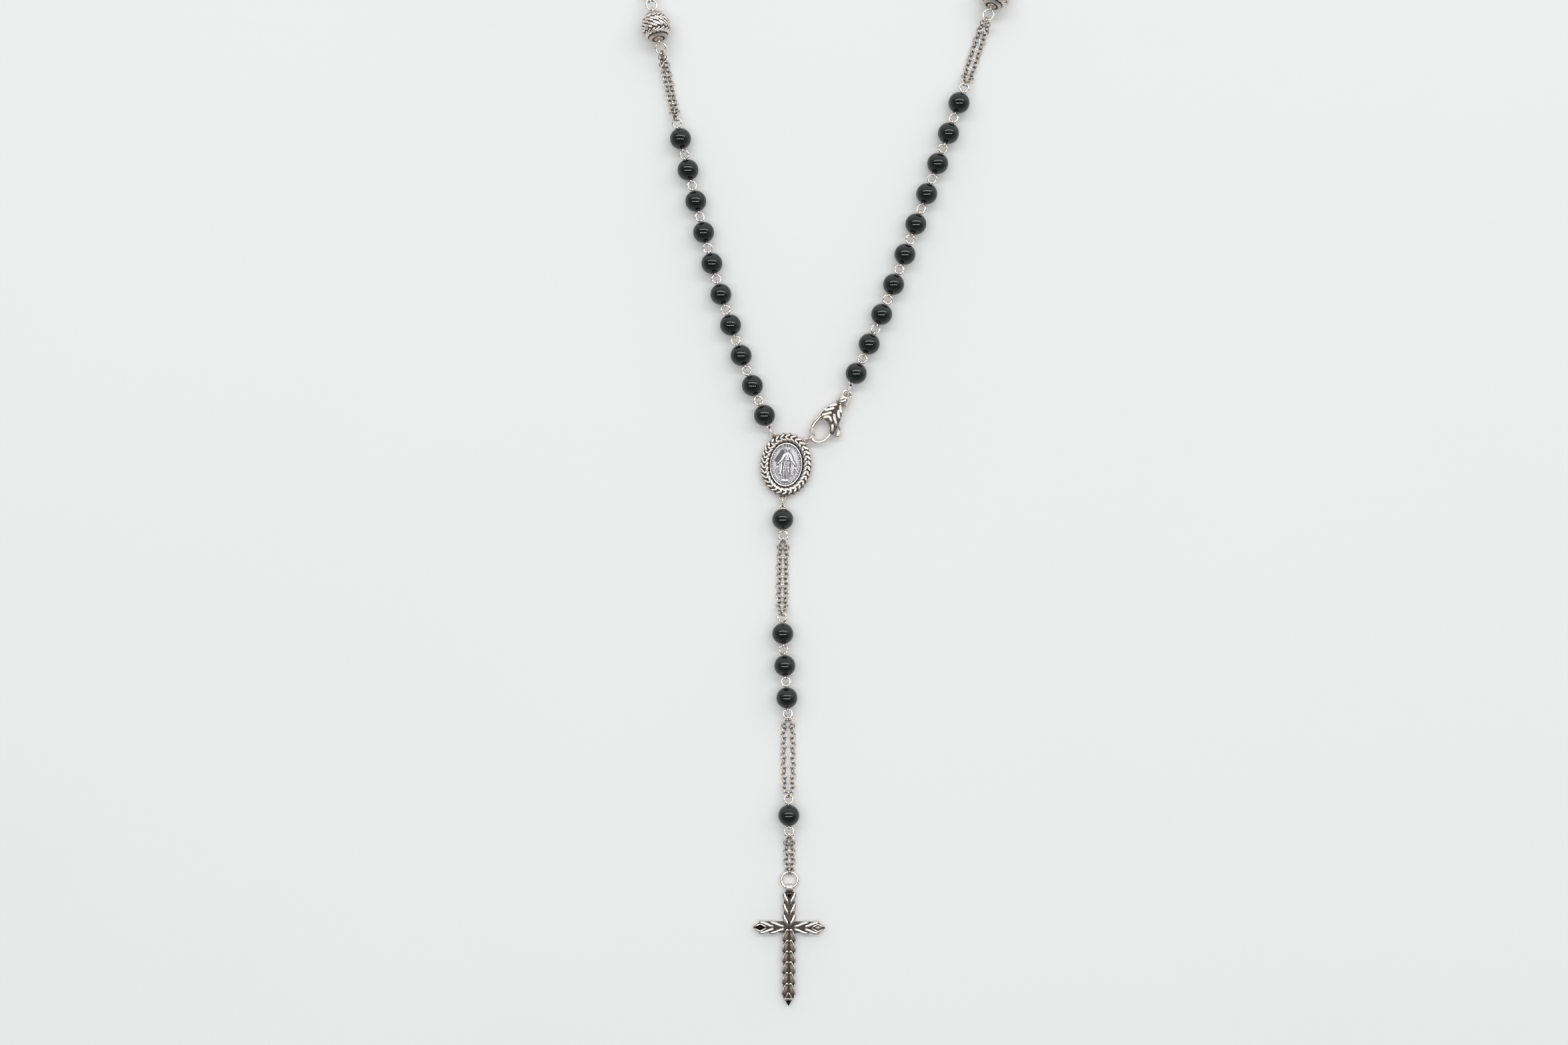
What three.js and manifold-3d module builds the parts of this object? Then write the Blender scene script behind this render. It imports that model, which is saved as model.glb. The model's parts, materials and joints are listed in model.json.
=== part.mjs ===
// Five-decade rosary of black stone beads on silver eye pins, laid flat and face up.
// Units are millimetres and +Z is up. The origin is the centre of the medal's flat back, so
// the table is the plane z = 0. +Y runs up the loop, away from the cross.
import * as THREE from 'three';
import { mergeVertices } from 'three/addons/utils/BufferGeometryUtils.js';
import Module from 'manifold-3d';

// Beads, eye pins and jump rings.
const BEAD_RADIUS = 3;
const BEAD_PITCH = 9.05;
const STRAND_HEIGHT = 3.05;
const RING_RADIUS = 1.22;
const RING_WIRE = 0.25;
const PIN_EYE_RADIUS = 0.62;
const PIN_EYE_WIRE = 0.2;
const STEM_RADIUS = 0.4;
const HALF_DECADE = 5;
// A bead hangs this far past the eye that holds it, from the bead's centre to the ring's wire.
const BEAD_REACH = (BEAD_PITCH - 2 * RING_RADIUS) / 2;

// The first bead on each strand hangs from an upright ring.
const UPRIGHT_RING_RADIUS = 1.38;
const UPRIGHT_RING_CENTRE = new THREE.Vector3(1.05, 0, 2.65);
const FIRST_BEAD_OFFSET = 6;

// Large ornamented balls between the decades.
const BALL_RADIUS = 4.3;
const BALL_HEIGHT = 4.4;
const BALL_RING_RADIUS = 1.5;
const BALL_RING_WIRE = 0.3;
const BALL_CAP_RADIUS = 1.7;
const BALL_GAP = 0.42;
const BEAD_TO_BALL = 32;

// Double runs of fine chain.
const CHAIN_LINK_PITCH = 1.48;
const CHAIN_HALF_WIDTH = 0.72;
const CHAIN_WAIST = 0.45;
const CHAIN_HEIGHT = 0.8;
const CHAIN_END_GAP = 0.5;
const PLAIN_CHAIN_STEPS = 9;

// Medal: an oval frame with lugs, and the oval medal set in it.
const MEDAL_TILT = THREE.MathUtils.degToRad(-4.5);
const FRAME_OUTER = new THREE.Vector2(7.4, 8.9);
const FRAME_INNER = new THREE.Vector2(4.75, 6.35);
const FRAME_THICKNESS = 2.6;
const FRAME_PLATE = 0.8;
const INSERT_GAP = 0.15;
const INSERT_THICKNESS = 1.0;
const LUG_RADIUS = 0.8;
const LUG_WIRE = 0.28;
const LUG_HEIGHT = 1.8;
const LUG_LEFT = new THREE.Vector2(-3.75, 8.3);
const LUG_BOTTOM = new THREE.Vector2(-1.0, -9.4);
const LUG_CLASP = new THREE.Vector2(5.85, 6.7);

// Lobster clasp. Its own frame has its origin in the middle of the hook's hole, +X to the swivel.
const CLASP_CENTRE = new THREE.Vector2(9.9, 9.6);
const CLASP_HEADING = THREE.MathUtils.degToRad(59.7);
const CLASP_HEIGHT = 1.85;
const CLASP_RING_HEADING = THREE.MathUtils.degToRad(38);
const CLASP_HEAD_DEPTH = 2.5;
const CLASP_BEVEL = 0.35;
const HOOK_RADII = new THREE.Vector2(3.5, 2.6);
const HOOK_WIRE = 0.58;
const LEVER_DEPTH = 0.7;
const SLOT_DEPTH = 1.1;
const LEVER_PIVOT = new THREE.Vector2(4.4, 1.2);
const PIN_RADIUS = 0.35;
const PIN_GAP = 0.1;
const SWIVEL_OFFSET = -1.05;
const SWIVEL_RADIUS = 1.35;
const SWIVEL_EYE_RADIUS = 1.1;
const SWIVEL_EYE_WIRE = 0.35;
const SWIVEL_EYE_CENTRE = 12.4;
const SWIVEL_HANG = 12.85;

// Cross and its ring.
const CROSS_RING_RADIUS = 2.265;
const CROSS_RING_WIRE = 0.385;
const CROSS_HEIGHT = 1.05;
const CROSS_TOP = 0.8;
const CROSS_CENTRE = 11.1;
const CROSS_BOTTOM = 33.2;
const CROSS_ARM = 10.2;
const CROSS_HALF_WIDTH = 2.05;
const CROSS_PLATE = 1.2;
const CROSS_RIDGE = 0.8;
const CROSS_RIDGE_PITCH = 2.9;
const BAIL_OUTER = 1.0;
const BAIL_INNER = 0.7;
const BAIL_WIDTH = 1.9;

// The loop's line on the table, from the medal's left lug round to the clasp's swivel eye.
const LOOP_LINE = [
  [-3.75, 8.3], [-9.7, 22.8], [-15.8, 39.8], [-21.1, 57.4], [-25.7, 75.4], [-30.0, 93.0],
  [-36.7, 124.0], [-45.0, 164.0], [-52.0, 204.0], [-50.5, 243.0], [-34.0, 275.5],
  [-7.0, 295.9], [24.0, 303.2], [57.0, 293.9], [82.0, 270.0], [93.0, 238.0],
  [87.0, 203.0], [73.5, 169.0], [58.5, 131.0], [48.4, 100.9], [39.3, 75.4],
  [30.1, 50.2], [23.0, 33.0], [17.28, 20.17],
];
// The pendant's line, from the medal's bottom lug down to the cross.
const PENDANT_LINE = [
  [-1.0, -9.4], [-0.8, -21.0], [-1.1, -42.0], [-0.6, -54.0], [0.4, -66.0], [0.7, -94.0],
  [1.0, -116.0], [0.5, -150.0],
];

const SILVER = { color: 0xc9c4bd, roughness: 0.28, metalness: 1 };
const DARK_SILVER = { color: 0x8d8680, roughness: 0.42, metalness: 1 };
const ONYX = { color: 0x101412, roughness: 0.12, metalness: 0 };

const wasm = await Module();
wasm.setup();

/** Turns a closed geometry into a solid that can be joined and cut. */
function toSolid(geometry) {
  const bare = geometry.clone();
  bare.deleteAttribute('normal');
  bare.deleteAttribute('uv');
  const merged = mergeVertices(bare, 1e-4);
  const source = merged.index.array;
  const corners = [];
  for (let i = 0; i < source.length; i += 3) {
    const [a, b, c] = [source[i], source[i + 1], source[i + 2]];
    if (a !== b && b !== c && c !== a) corners.push(a, b, c);
  }
  const vertProperties = new Float32Array(merged.attributes.position.array);
  const triVerts = new Uint32Array(corners);
  return new wasm.Manifold(new wasm.Mesh({ numProp: 3, vertProperties, triVerts }));
}

/** Turns a solid back into a geometry. */
function toGeometry(solid) {
  const { vertProperties, triVerts } = solid.getMesh();
  const geometry = new THREE.BufferGeometry();
  geometry.setAttribute('position', new THREE.BufferAttribute(vertProperties, 3));
  geometry.setIndex(new THREE.BufferAttribute(triVerts, 1));
  geometry.computeVertexNormals();
  return geometry;
}

/** Joins geometries into one solid. */
function join(geometries) {
  return geometries.map(toSolid).reduce((whole, next) => whole.add(next));
}

/** A ring of wire lying flat, or standing upright along the strand. */
function ring(radius, wire, centre, upright = false, steps = 8) {
  const geometry = new THREE.TorusGeometry(radius, wire, 4, steps);
  if (upright) geometry.rotateX(Math.PI / 2);
  return geometry.translate(centre.x, centre.y, centre.z);
}

/** A round solid about the strand's own direction, from a profile of [distance, radius]. */
function turned(profile, height, sides, side = 0) {
  const points = profile.map(([along, radius]) => new THREE.Vector2(radius, along));
  return new THREE.LatheGeometry(points, sides)
    .rotateZ(-Math.PI / 2)
    .translate(0, side, height);
}

/** A ball with its poles on the strand. */
function ball(radius, along, height, sides, bands) {
  return new THREE.SphereGeometry(radius, sides, bands)
    .rotateZ(Math.PI / 2)
    .translate(along, 0, height);
}

/** A flat ring beside an eye, at a distance along the strand. */
function strandRing(along) {
  return ring(RING_RADIUS, RING_WIRE, new THREE.Vector3(along, 0, STRAND_HEIGHT));
}

/** An upright eye at the end of a bead's pin. */
function pinEye(along, height = STRAND_HEIGHT) {
  const centre = new THREE.Vector3(along, 0, height);
  return ring(PIN_EYE_RADIUS, PIN_EYE_WIRE, centre, true, 6);
}

/** The stretch of a bead's pin that grips a ring, from one distance along to another. */
function stem(from, to) {
  return turned([[from, 0], [from, STEM_RADIUS], [to, STEM_RADIUS], [to, 0]], STRAND_HEIGHT, 4);
}

/** A bead on its eye pin with the ring that hangs it, and a second ring where chain follows. */
function beadLink({ first = false, ringAfter = false }) {
  const centre = first ? FIRST_BEAD_OFFSET : BEAD_PITCH - BEAD_REACH;
  const hangingRing = first
    ? ring(UPRIGHT_RING_RADIUS, RING_WIRE, UPRIGHT_RING_CENTRE, true)
    : strandRing(RING_RADIUS);
  const stemStart = centre - BEAD_RADIUS - (first ? 0.75 : 0.35);
  const pieces = [
    ball(BEAD_RADIUS, centre, STRAND_HEIGHT, 8, 6),
    hangingRing,
    stem(stemStart, centre - BEAD_RADIUS + 0.3),
  ];
  const lastEye = centre + BEAD_REACH;
  pieces.push(...(ringAfter ? lastRing(lastEye) : [pinEye(lastEye)]));
  return join(pieces);
}

/** The stem and ring at the end of a link that chain follows. */
function lastRing(lastEye) {
  return [stem(lastEye - 0.6, lastEye + 0.1), strandRing(lastEye + RING_RADIUS)];
}

/** Length of a bead link from its pivot to the next. */
function beadLinkLength({ first = false, ringAfter = false }) {
  const centre = first ? FIRST_BEAD_OFFSET : BEAD_PITCH - BEAD_REACH;
  return centre + BEAD_REACH + (ringAfter ? 2 * RING_RADIUS : 0);
}

/** Five beads in a row with their pins and rings, joined into one solid. */
function halfDecade({ ringAfter = false }) {
  const pieces = [strandRing(RING_RADIUS)];
  const gap = BEAD_PITCH - 2 * BEAD_RADIUS;
  for (let i = 0; i < HALF_DECADE; i += 1) {
    const centre = (i + 1) * BEAD_PITCH - BEAD_REACH;
    const bareLength = i === 0 ? 0.35 : gap + 0.3;
    pieces.push(ball(BEAD_RADIUS, centre, STRAND_HEIGHT, 8, 4));
    pieces.push(stem(centre - BEAD_RADIUS - bareLength, centre - BEAD_RADIUS + 0.3));
  }
  const lastEye = HALF_DECADE * BEAD_PITCH;
  pieces.push(...(ringAfter ? lastRing(lastEye) : [pinEye(lastEye)]));
  return join(pieces);
}

/** An ornamented ball with plain end caps, an eye and a ring at each end. */
function ballLink() {
  const centre = ballCentre();
  const capEnd = BALL_RADIUS + 0.15;
  const profile = [[centre - capEnd, 0], [centre - capEnd, BALL_CAP_RADIUS * 0.7]];
  for (const turn of [24, 46, 68, 90, 112, 134, 156]) {
    const angle = THREE.MathUtils.degToRad(turn);
    const along = centre - BALL_RADIUS * Math.cos(angle);
    profile.push([along, BALL_RADIUS * Math.sin(angle)]);
  }
  profile.push([centre + capEnd, BALL_CAP_RADIUS * 0.7], [centre + capEnd, 0]);
  const eye = BALL_RADIUS + BALL_GAP;
  const pieces = [turned(profile, BALL_HEIGHT, 10)];
  for (const side of [-1, 1]) {
    pieces.push(pinEye(centre + side * (eye - PIN_EYE_WIRE), BALL_HEIGHT));
    const ringAt = new THREE.Vector3(centre + side * (eye + BALL_RING_RADIUS), 0, BALL_HEIGHT);
    pieces.push(ring(BALL_RING_RADIUS, BALL_RING_WIRE, ringAt));
  }
  return join(pieces);
}

/** Distance from a ball link's pivot to the ball's centre: the same again to its far end. */
function ballCentre() {
  return 2 * BALL_RING_RADIUS + BALL_RADIUS + BALL_GAP;
}

/** Height of a chain run over the table: it leaves each end's ring and sinks to the table. */
function chainHeight(along, length, startHeight, endHeight) {
  const fromStart = Math.exp(-((along / 2.2) ** 2));
  const fromEnd = Math.exp(-(((length - along) / 2.2) ** 2));
  const rise = (startHeight - CHAIN_HEIGHT) * fromStart + (endHeight - CHAIN_HEIGHT) * fromEnd;
  return CHAIN_HEIGHT + rise;
}

/** One strand of small round links, as a waisted bar bent down to the table. */
function chainStrand({ length, startHeight, endHeight, spread, side }, plain = false) {
  const run = length - 2 * CHAIN_END_GAP;
  const links = plain ? PLAIN_CHAIN_STEPS : Math.round(run / CHAIN_LINK_PITCH);
  const profile = [[0, 0], [0, CHAIN_WAIST]];
  for (let i = 0; i < links; i += 1) {
    if (!plain) profile.push([((i + 0.5) * run) / links, CHAIN_HALF_WIDTH]);
    profile.push([((i + 1) * run) / links, CHAIN_WAIST]);
  }
  profile.push([run, 0]);
  const geometry = turned(profile, 0, 4);
  const position = geometry.attributes.position;
  for (let i = 0; i < position.count; i += 1) {
    const along = position.getX(i) + CHAIN_END_GAP;
    const bulge = Math.sqrt(Math.sin((Math.PI * along) / length));
    position.setX(i, along);
    position.setY(i, position.getY(i) + side * (CHAIN_HALF_WIDTH + 0.12 + spread * bulge));
    position.setZ(i, position.getZ(i) + chainHeight(along, length, startHeight, endHeight));
  }
  return geometry;
}

/** A double run whose two strands are held together at both ends. */
function joinedChain(options) {
  const { length, startHeight, endHeight } = options;
  const strands = [-1, 1].map((side) => chainStrand({ ...options, side }, true));
  const bars = [CHAIN_END_GAP + 0.2, length - CHAIN_END_GAP - 0.2].map((along) => {
    const height = chainHeight(along, length, startHeight, endHeight);
    return new THREE.BoxGeometry(0.4, 1.9, 0.5).translate(along, 0, height);
  });
  return join([...strands, ...bars]);
}

/** Stretches a round profile's ring into the medal's oval, keeping its wall even. */
function ovalize(geometry, inner, outer, tilt = 0) {
  const position = geometry.attributes.position;
  for (let i = 0; i < position.count; i += 1) {
    const radius = Math.hypot(position.getX(i), position.getY(i));
    const angle = Math.atan2(position.getY(i), position.getX(i));
    const share = (radius - inner.x) / (outer.x - inner.x);
    const long = radius < inner.x
      ? (radius * inner.y) / inner.x
      : THREE.MathUtils.lerp(inner.y, outer.y, share);
    position.setXY(i, radius * Math.cos(angle), long * Math.sin(angle));
  }
  return geometry.rotateZ(tilt);
}

/** A round solid standing on the table, from a profile of [radius, height]. */
function upright(profile, sides) {
  const points = profile.map(([radius, height]) => new THREE.Vector2(radius, height));
  return new THREE.LatheGeometry(points, sides).rotateX(Math.PI / 2);
}

/** The medal's oval frame: a crowned band on a flat back plate, with three lugs. */
function medalFrame() {
  const [out, hole] = [FRAME_OUTER.x, FRAME_INNER.x];
  const profile = [
    [0, 0], [out - 0.3, 0], [out, 0.5], [out, 1.9], [out - 0.8, 2.4],
    [(out + hole) / 2, FRAME_THICKNESS], [hole + 0.5, 2.2], [hole, 1.6],
    [hole, FRAME_PLATE], [0, FRAME_PLATE],
  ];
  const band = ovalize(upright(profile, 32), FRAME_INNER, FRAME_OUTER, MEDAL_TILT);
  const lugs = [LUG_LEFT, LUG_BOTTOM, LUG_CLASP].map((place) => {
    return ring(LUG_RADIUS, LUG_WIRE, new THREE.Vector3(place.x, place.y, LUG_HEIGHT));
  });
  return join([band, ...lugs]);
}

/** The oval medal: a disc with a raised rim and a robed standing figure in relief. */
function medalInsert() {
  const edge = FRAME_INNER.x - INSERT_GAP;
  const floor = FRAME_PLATE + INSERT_GAP;
  const face = floor + INSERT_THICKNESS;
  const profile = [
    [0, floor], [edge, floor], [edge, face], [edge - 0.5, face],
    [edge - 0.7, face - 0.25], [0, face - 0.25],
  ];
  const inner = new THREE.Vector2(edge - 0.7, FRAME_INNER.y - INSERT_GAP - 0.7);
  const outer = new THREE.Vector2(edge, FRAME_INNER.y - INSERT_GAP);
  const disc = ovalize(upright(profile, 28), inner, outer, MEDAL_TILT);
  const robe = new THREE.LatheGeometry([
    new THREE.Vector2(0, -4.2), new THREE.Vector2(1.25, -4.2), new THREE.Vector2(0.95, -1.2),
    new THREE.Vector2(1.15, 1.6), new THREE.Vector2(0.45, 2.5), new THREE.Vector2(0.72, 3.1),
    new THREE.Vector2(0.4, 3.9), new THREE.Vector2(0, 4.0),
  ], 8);
  robe.scale(1, 1, 0.45).rotateZ(MEDAL_TILT).translate(0, 0, face - 0.3);
  const arms = new THREE.BoxGeometry(4.2, 0.7, 0.5).rotateZ(MEDAL_TILT);
  arms.translate(0, -0.4, face - 0.15);
  return join([disc, robe, arms]);
}

/** Extrudes a flat outline of [x, y] points, centred on a height. */
function plate(outline, depth, height, bevel = 0) {
  const shape = new THREE.Shape(outline.map(([x, y]) => new THREE.Vector2(x, y)));
  const options = {
    depth: depth - 2 * bevel,
    bevelEnabled: bevel > 0,
    bevelThickness: bevel,
    bevelSize: bevel,
    bevelOffset: -bevel,
    bevelSegments: 1,
    steps: 1,
  };
  return new THREE.ExtrudeGeometry(shape, options).translate(0, 0, height - depth / 2 + bevel);
}

/** An upright round rod. */
function rod(radius, length, centre, height, sides = 10) {
  return new THREE.CylinderGeometry(radius, radius, length, sides)
    .rotateX(Math.PI / 2)
    .translate(centre.x, centre.y, height);
}

/** The clasp's hook: round wire bent along the lower part of an oval. */
function claspHook() {
  const points = [];
  for (let turn = -78; turn >= -258; turn -= 18) {
    const angle = THREE.MathUtils.degToRad(turn);
    const x = HOOK_RADII.x * Math.cos(angle);
    points.push(new THREE.Vector3(x, HOOK_RADII.y * Math.sin(angle), CLASP_HEIGHT));
  }
  const section = new THREE.Shape();
  section.absarc(0, 0, HOOK_WIRE, 0, Math.PI * 2);
  const extrudePath = new THREE.CatmullRomCurve3(points);
  return new THREE.ExtrudeGeometry(section, { extrudePath, steps: 12, curveSegments: 8 });
}

/** The clasp's head, slotted for the lever, with its hook and the neck that the swivel turns on. */
function claspBody() {
  const head = plate([
    [8.7, 0.0], [7.5, 1.6], [6.2, 2.5], [4.5, 2.75], [3.3, 2.6], [2.95, 1.6], [3.0, 0.4],
    [2.6, -0.9], [1.7, -1.8], [0.6, -2.05], [0.1, -2.3], [0.2, -3.35], [2.0, -3.8],
    [4.5, -3.75], [6.3, -3.2], [7.8, -2.5], [8.7, -2.1],
  ], CLASP_HEAD_DEPTH + 2 * CLASP_BEVEL, CLASP_HEIGHT, CLASP_BEVEL);
  const neck = turned([
    [8.2, 0], [8.2, 0.48], [9.7, 0.48], [9.7, 0.85], [10.3, 0.85], [10.3, 0],
  ], CLASP_HEIGHT, 10, SWIVEL_OFFSET);
  const slot = new THREE.BoxGeometry(5.3, 10, SLOT_DEPTH).translate(4.05, 0, CLASP_HEIGHT);
  const pinHole = rod(PIN_RADIUS + PIN_GAP, 5, LEVER_PIVOT, CLASP_HEIGHT);
  return join([head, neck, claspHook()]).subtract(toSolid(slot)).subtract(toSolid(pinHole));
}

/** The clasp's lever: gate on one side, thumb nub on the other, turning on the pin. */
function claspLever() {
  const blade = plate([
    [-0.35, 2.05], [1.6, 1.95], [3.1, 1.7], [3.6, 0.6], [3.3, -1.4], [2.9, -2.4], [2.0, -3.6],
    [0.6, -4.2], [0.1, -4.9], [0.6, -5.7], [1.5, -5.7], [3.1, -4.5], [5.0, -2.6], [5.6, -0.4],
    [5.3, 1.6], [4.3, 2.5], [3.2, 2.9], [1.2, 3.15], [0.1, 3.05],
  ], LEVER_DEPTH, CLASP_HEIGHT);
  const hole = rod(PIN_RADIUS + PIN_GAP, 5, LEVER_PIVOT, CLASP_HEIGHT);
  return toSolid(blade).subtract(toSolid(hole));
}

/** The small leaf spring behind the lever. */
function claspSpring() {
  const outline = [[5.75, 1.5], [6.1, 2.1], [6.3, 1.5], [6.4, 0.4], [6.55, 0.4], [6.5, 1.6],
    [6.2, 2.35], [6.0, 2.35]];
  return toSolid(plate(outline, LEVER_DEPTH, CLASP_HEIGHT));
}

/** The clasp's pivot pin. */
function claspPin() {
  return toSolid(rod(PIN_RADIUS, CLASP_HEAD_DEPTH + 2 * CLASP_BEVEL - 0.3, LEVER_PIVOT,
    CLASP_HEIGHT));
}

/** The barrel that turns on the clasp's neck, with the eye that holds the strand. */
function claspSwivel() {
  const barrel = turned([
    [9.0, 0.6], [9.0, SWIVEL_RADIUS - 0.15], [9.3, SWIVEL_RADIUS], [10.8, SWIVEL_RADIUS],
    [11.2, SWIVEL_RADIUS - 0.4], [11.2, 0], [10.6, 0], [10.6, 1.0], [9.5, 1.0], [9.5, 0.6],
    [9.0, 0.6],
  ], CLASP_HEIGHT, 12, SWIVEL_OFFSET);
  const centre = new THREE.Vector3(SWIVEL_EYE_CENTRE, SWIVEL_OFFSET, CLASP_HEIGHT);
  return join([barrel, ring(SWIVEL_EYE_RADIUS, SWIVEL_EYE_WIRE, centre, false, 10)]);
}

/** A raised V on the cross, its point towards the middle of the cross. */
function chevron(tip, halfWidth, sweep, bar) {
  return plate([
    [tip, 0], [tip + sweep, halfWidth], [tip + sweep + bar, halfWidth], [tip + bar, 0],
    [tip + sweep + bar, -halfWidth], [tip + sweep, -halfWidth],
  ], CROSS_RIDGE, CROSS_PLATE + CROSS_RIDGE / 2 - 0.2);
}

/** One arm's raised V's, running outwards from the middle of the cross. */
function arm(count, direction, gap) {
  const ridges = [];
  for (let i = 0; i < count; i += 1) {
    ridges.push(chevron(gap + i * CROSS_RIDGE_PITCH, CROSS_HALF_WIDTH - 0.15, 2.1, 0.8)
      .rotateZ(direction)
      .translate(CROSS_CENTRE, 0, 0));
  }
  return ridges;
}

/** The cross with its bail. */
function cross() {
  const w = CROSS_HALF_WIDTH;
  const outline = plate([
    [CROSS_TOP, -w + 0.9], [CROSS_TOP + 0.9, -w], [CROSS_CENTRE - w, -w],
    [CROSS_CENTRE - w, 2 - CROSS_ARM], [CROSS_CENTRE, -CROSS_ARM],
    [CROSS_CENTRE + w, 2 - CROSS_ARM], [CROSS_CENTRE + w, -w], [CROSS_BOTTOM - 2.2, -w],
    [CROSS_BOTTOM, 0], [CROSS_BOTTOM - 2.2, w], [CROSS_CENTRE + w, w],
    [CROSS_CENTRE + w, CROSS_ARM - 2], [CROSS_CENTRE, CROSS_ARM],
    [CROSS_CENTRE - w, CROSS_ARM - 2], [CROSS_CENTRE - w, w], [CROSS_TOP + 0.9, w],
    [CROSS_TOP, w - 0.9],
  ], CROSS_PLATE, CROSS_PLATE / 2);
  const ridges = [
    ...arm(6, 0, 0.6), ...arm(3, Math.PI, 0.6), ...arm(2, Math.PI / 2, 0.6),
    ...arm(2, -Math.PI / 2, 0.6),
  ];
  const bail = new THREE.CylinderGeometry(BAIL_OUTER, BAIL_OUTER, BAIL_WIDTH, 12)
    .translate(-0.13, 0, CROSS_HEIGHT);
  const bore = new THREE.CylinderGeometry(BAIL_INNER, BAIL_INNER, 6, 12)
    .translate(-0.13, 0, CROSS_HEIGHT);
  return join([outline, ...ridges, bail]).subtract(toSolid(bore));
}

/** The ring that holds the cross. */
function crossRing() {
  const centre = new THREE.Vector3(CROSS_RING_RADIUS, 0, CROSS_HEIGHT);
  return toSolid(ring(CROSS_RING_RADIUS, CROSS_RING_WIRE, centre, false, 14));
}

/** Finds the next point of a line that lies a straight distance from this one. */
function stepAlong(curve, from, distance, direction) {
  const start = curve.getPoint(from);
  let low = from;
  let high = from + direction * 0.25;
  for (let i = 0; i < 40; i += 1) {
    const middle = (low + high) / 2;
    if (curve.getPoint(middle).distanceTo(start) < distance) low = middle;
    else high = middle;
  }
  return (low + high) / 2;
}

const rosary = new THREE.Group();
rosary.name = 'rosary';

/** Adds a named sub-part at a place on the table, turned to its heading. */
function place(name, solid, finish, point = { x: 0, y: 0 }, heading = 0) {
  const mesh = new THREE.Mesh(toGeometry(solid), new THREE.MeshStandardMaterial(finish));
  mesh.name = name;
  mesh.position.set(point.x, point.y, 0);
  mesh.rotation.z = heading;
  rosary.add(mesh);
}

/** Lays links one after another along a line, from its start or back from its end. */
function lay(line, links, direction) {
  const points = line.map(([x, y]) => new THREE.Vector3(x, y, 0));
  const curve = new THREE.CatmullRomCurve3(points, false, 'centripetal');
  let at = direction > 0 ? 0 : 1;
  for (const link of links) {
    const next = stepAlong(curve, at, link.length, direction);
    const start = curve.getPoint(at);
    const end = curve.getPoint(next);
    const heading = Math.atan2(end.y - start.y, end.x - start.x);
    for (const part of link.parts) place(part.name, part.solid, link.finish, start, heading);
    at = next;
  }
}

/** A bead with its pin and rings, as a link of a strand. */
function bead(name, options = {}) {
  return {
    length: beadLinkLength(options),
    finish: ONYX,
    parts: [{ name, solid: beadLink(options) }],
  };
}

/** Half an unseen decade, as a link of a strand. */
function half(name, options = {}) {
  return {
    length: HALF_DECADE * BEAD_PITCH + (options.ringAfter ? 2 * RING_RADIUS : 0),
    finish: ONYX,
    parts: [{ name, solid: halfDecade(options) }],
  };
}

/** An ornamented ball, as a link of a strand. */
function paterBall(name) {
  const solid = ballLink();
  return { length: 2 * ballCentre(), finish: DARK_SILVER, parts: [{ name, solid }] };
}

/** A double run of chain, as a link of a strand: one sub-part, or one for each strand. */
function chain(name, options, apart) {
  const parts = apart
    ? [-1, 1].map((side, i) => {
      return { name: `${name}_${i + 1}`, solid: toSolid(chainStrand({ ...options, side })) };
    })
    : [{ name, solid: joinedChain(options) }];
  return { length: options.length, finish: SILVER, parts };
}

/** A run of chain between a bead and a ball, seen from the medal's side. */
function ballChain(name, towardsBall, apart = false) {
  return chain(name, {
    length: BEAD_TO_BALL - BEAD_REACH - 2 * RING_RADIUS - ballCentre(),
    startHeight: towardsBall ? STRAND_HEIGHT : BALL_HEIGHT,
    endHeight: towardsBall ? BALL_HEIGHT : STRAND_HEIGHT,
    spread: 0.15,
  }, apart);
}

/** The ten single beads next to the medal or the clasp. */
function nearDecade(side) {
  const links = [];
  for (let i = 1; i <= 10; i += 1) {
    const name = `bead_${side}_${String(i).padStart(2, '0')}`;
    links.push(bead(name, { first: i === 1, ringAfter: i === 10 }));
  }
  return links;
}

/** Half the loop, from the medal to the middle of the topmost decade. */
function halfLoop(side) {
  return [
    ...nearDecade(side),
    ballChain(`chain_${side}_1`, true, true),
    paterBall(`ball_${side}_1`),
    ballChain(`chain_${side}_2`, false),
    half(`decade_${side}_lower`),
    half(`decade_${side}_upper`, { ringAfter: true }),
    ballChain(`chain_${side}_3`, true),
    paterBall(`ball_${side}_2`),
    ballChain(`chain_${side}_4`, false),
    half(`decade_top_${side}`, { ringAfter: side === 'left' }),
  ];
}

/** The pendant between the medal and the cross's ring. */
function pendant() {
  const level = { startHeight: STRAND_HEIGHT, endHeight: STRAND_HEIGHT };
  return [
    bead('bead_pendant_1', { first: true, ringAfter: true }),
    chain('chain_pendant_upper', { ...level, length: 20.7, spread: 0.1 }, true),
    bead('bead_pendant_2'),
    bead('bead_pendant_3'),
    bead('bead_pendant_4', { ringAfter: true }),
    chain('chain_pendant_middle', { ...level, length: 21.6, spread: 0.45 }, true),
    bead('bead_pendant_5', { ringAfter: true }),
    chain('chain_pendant_lower', { ...level, endHeight: CROSS_HEIGHT, length: 10.45, spread: 0 }),
    {
      length: 2 * CROSS_RING_RADIUS,
      finish: SILVER,
      parts: [{ name: 'cross_ring', solid: crossRing() }],
    },
    { length: 3, finish: DARK_SILVER, parts: [{ name: 'cross', solid: cross() }] },
  ];
}

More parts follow.
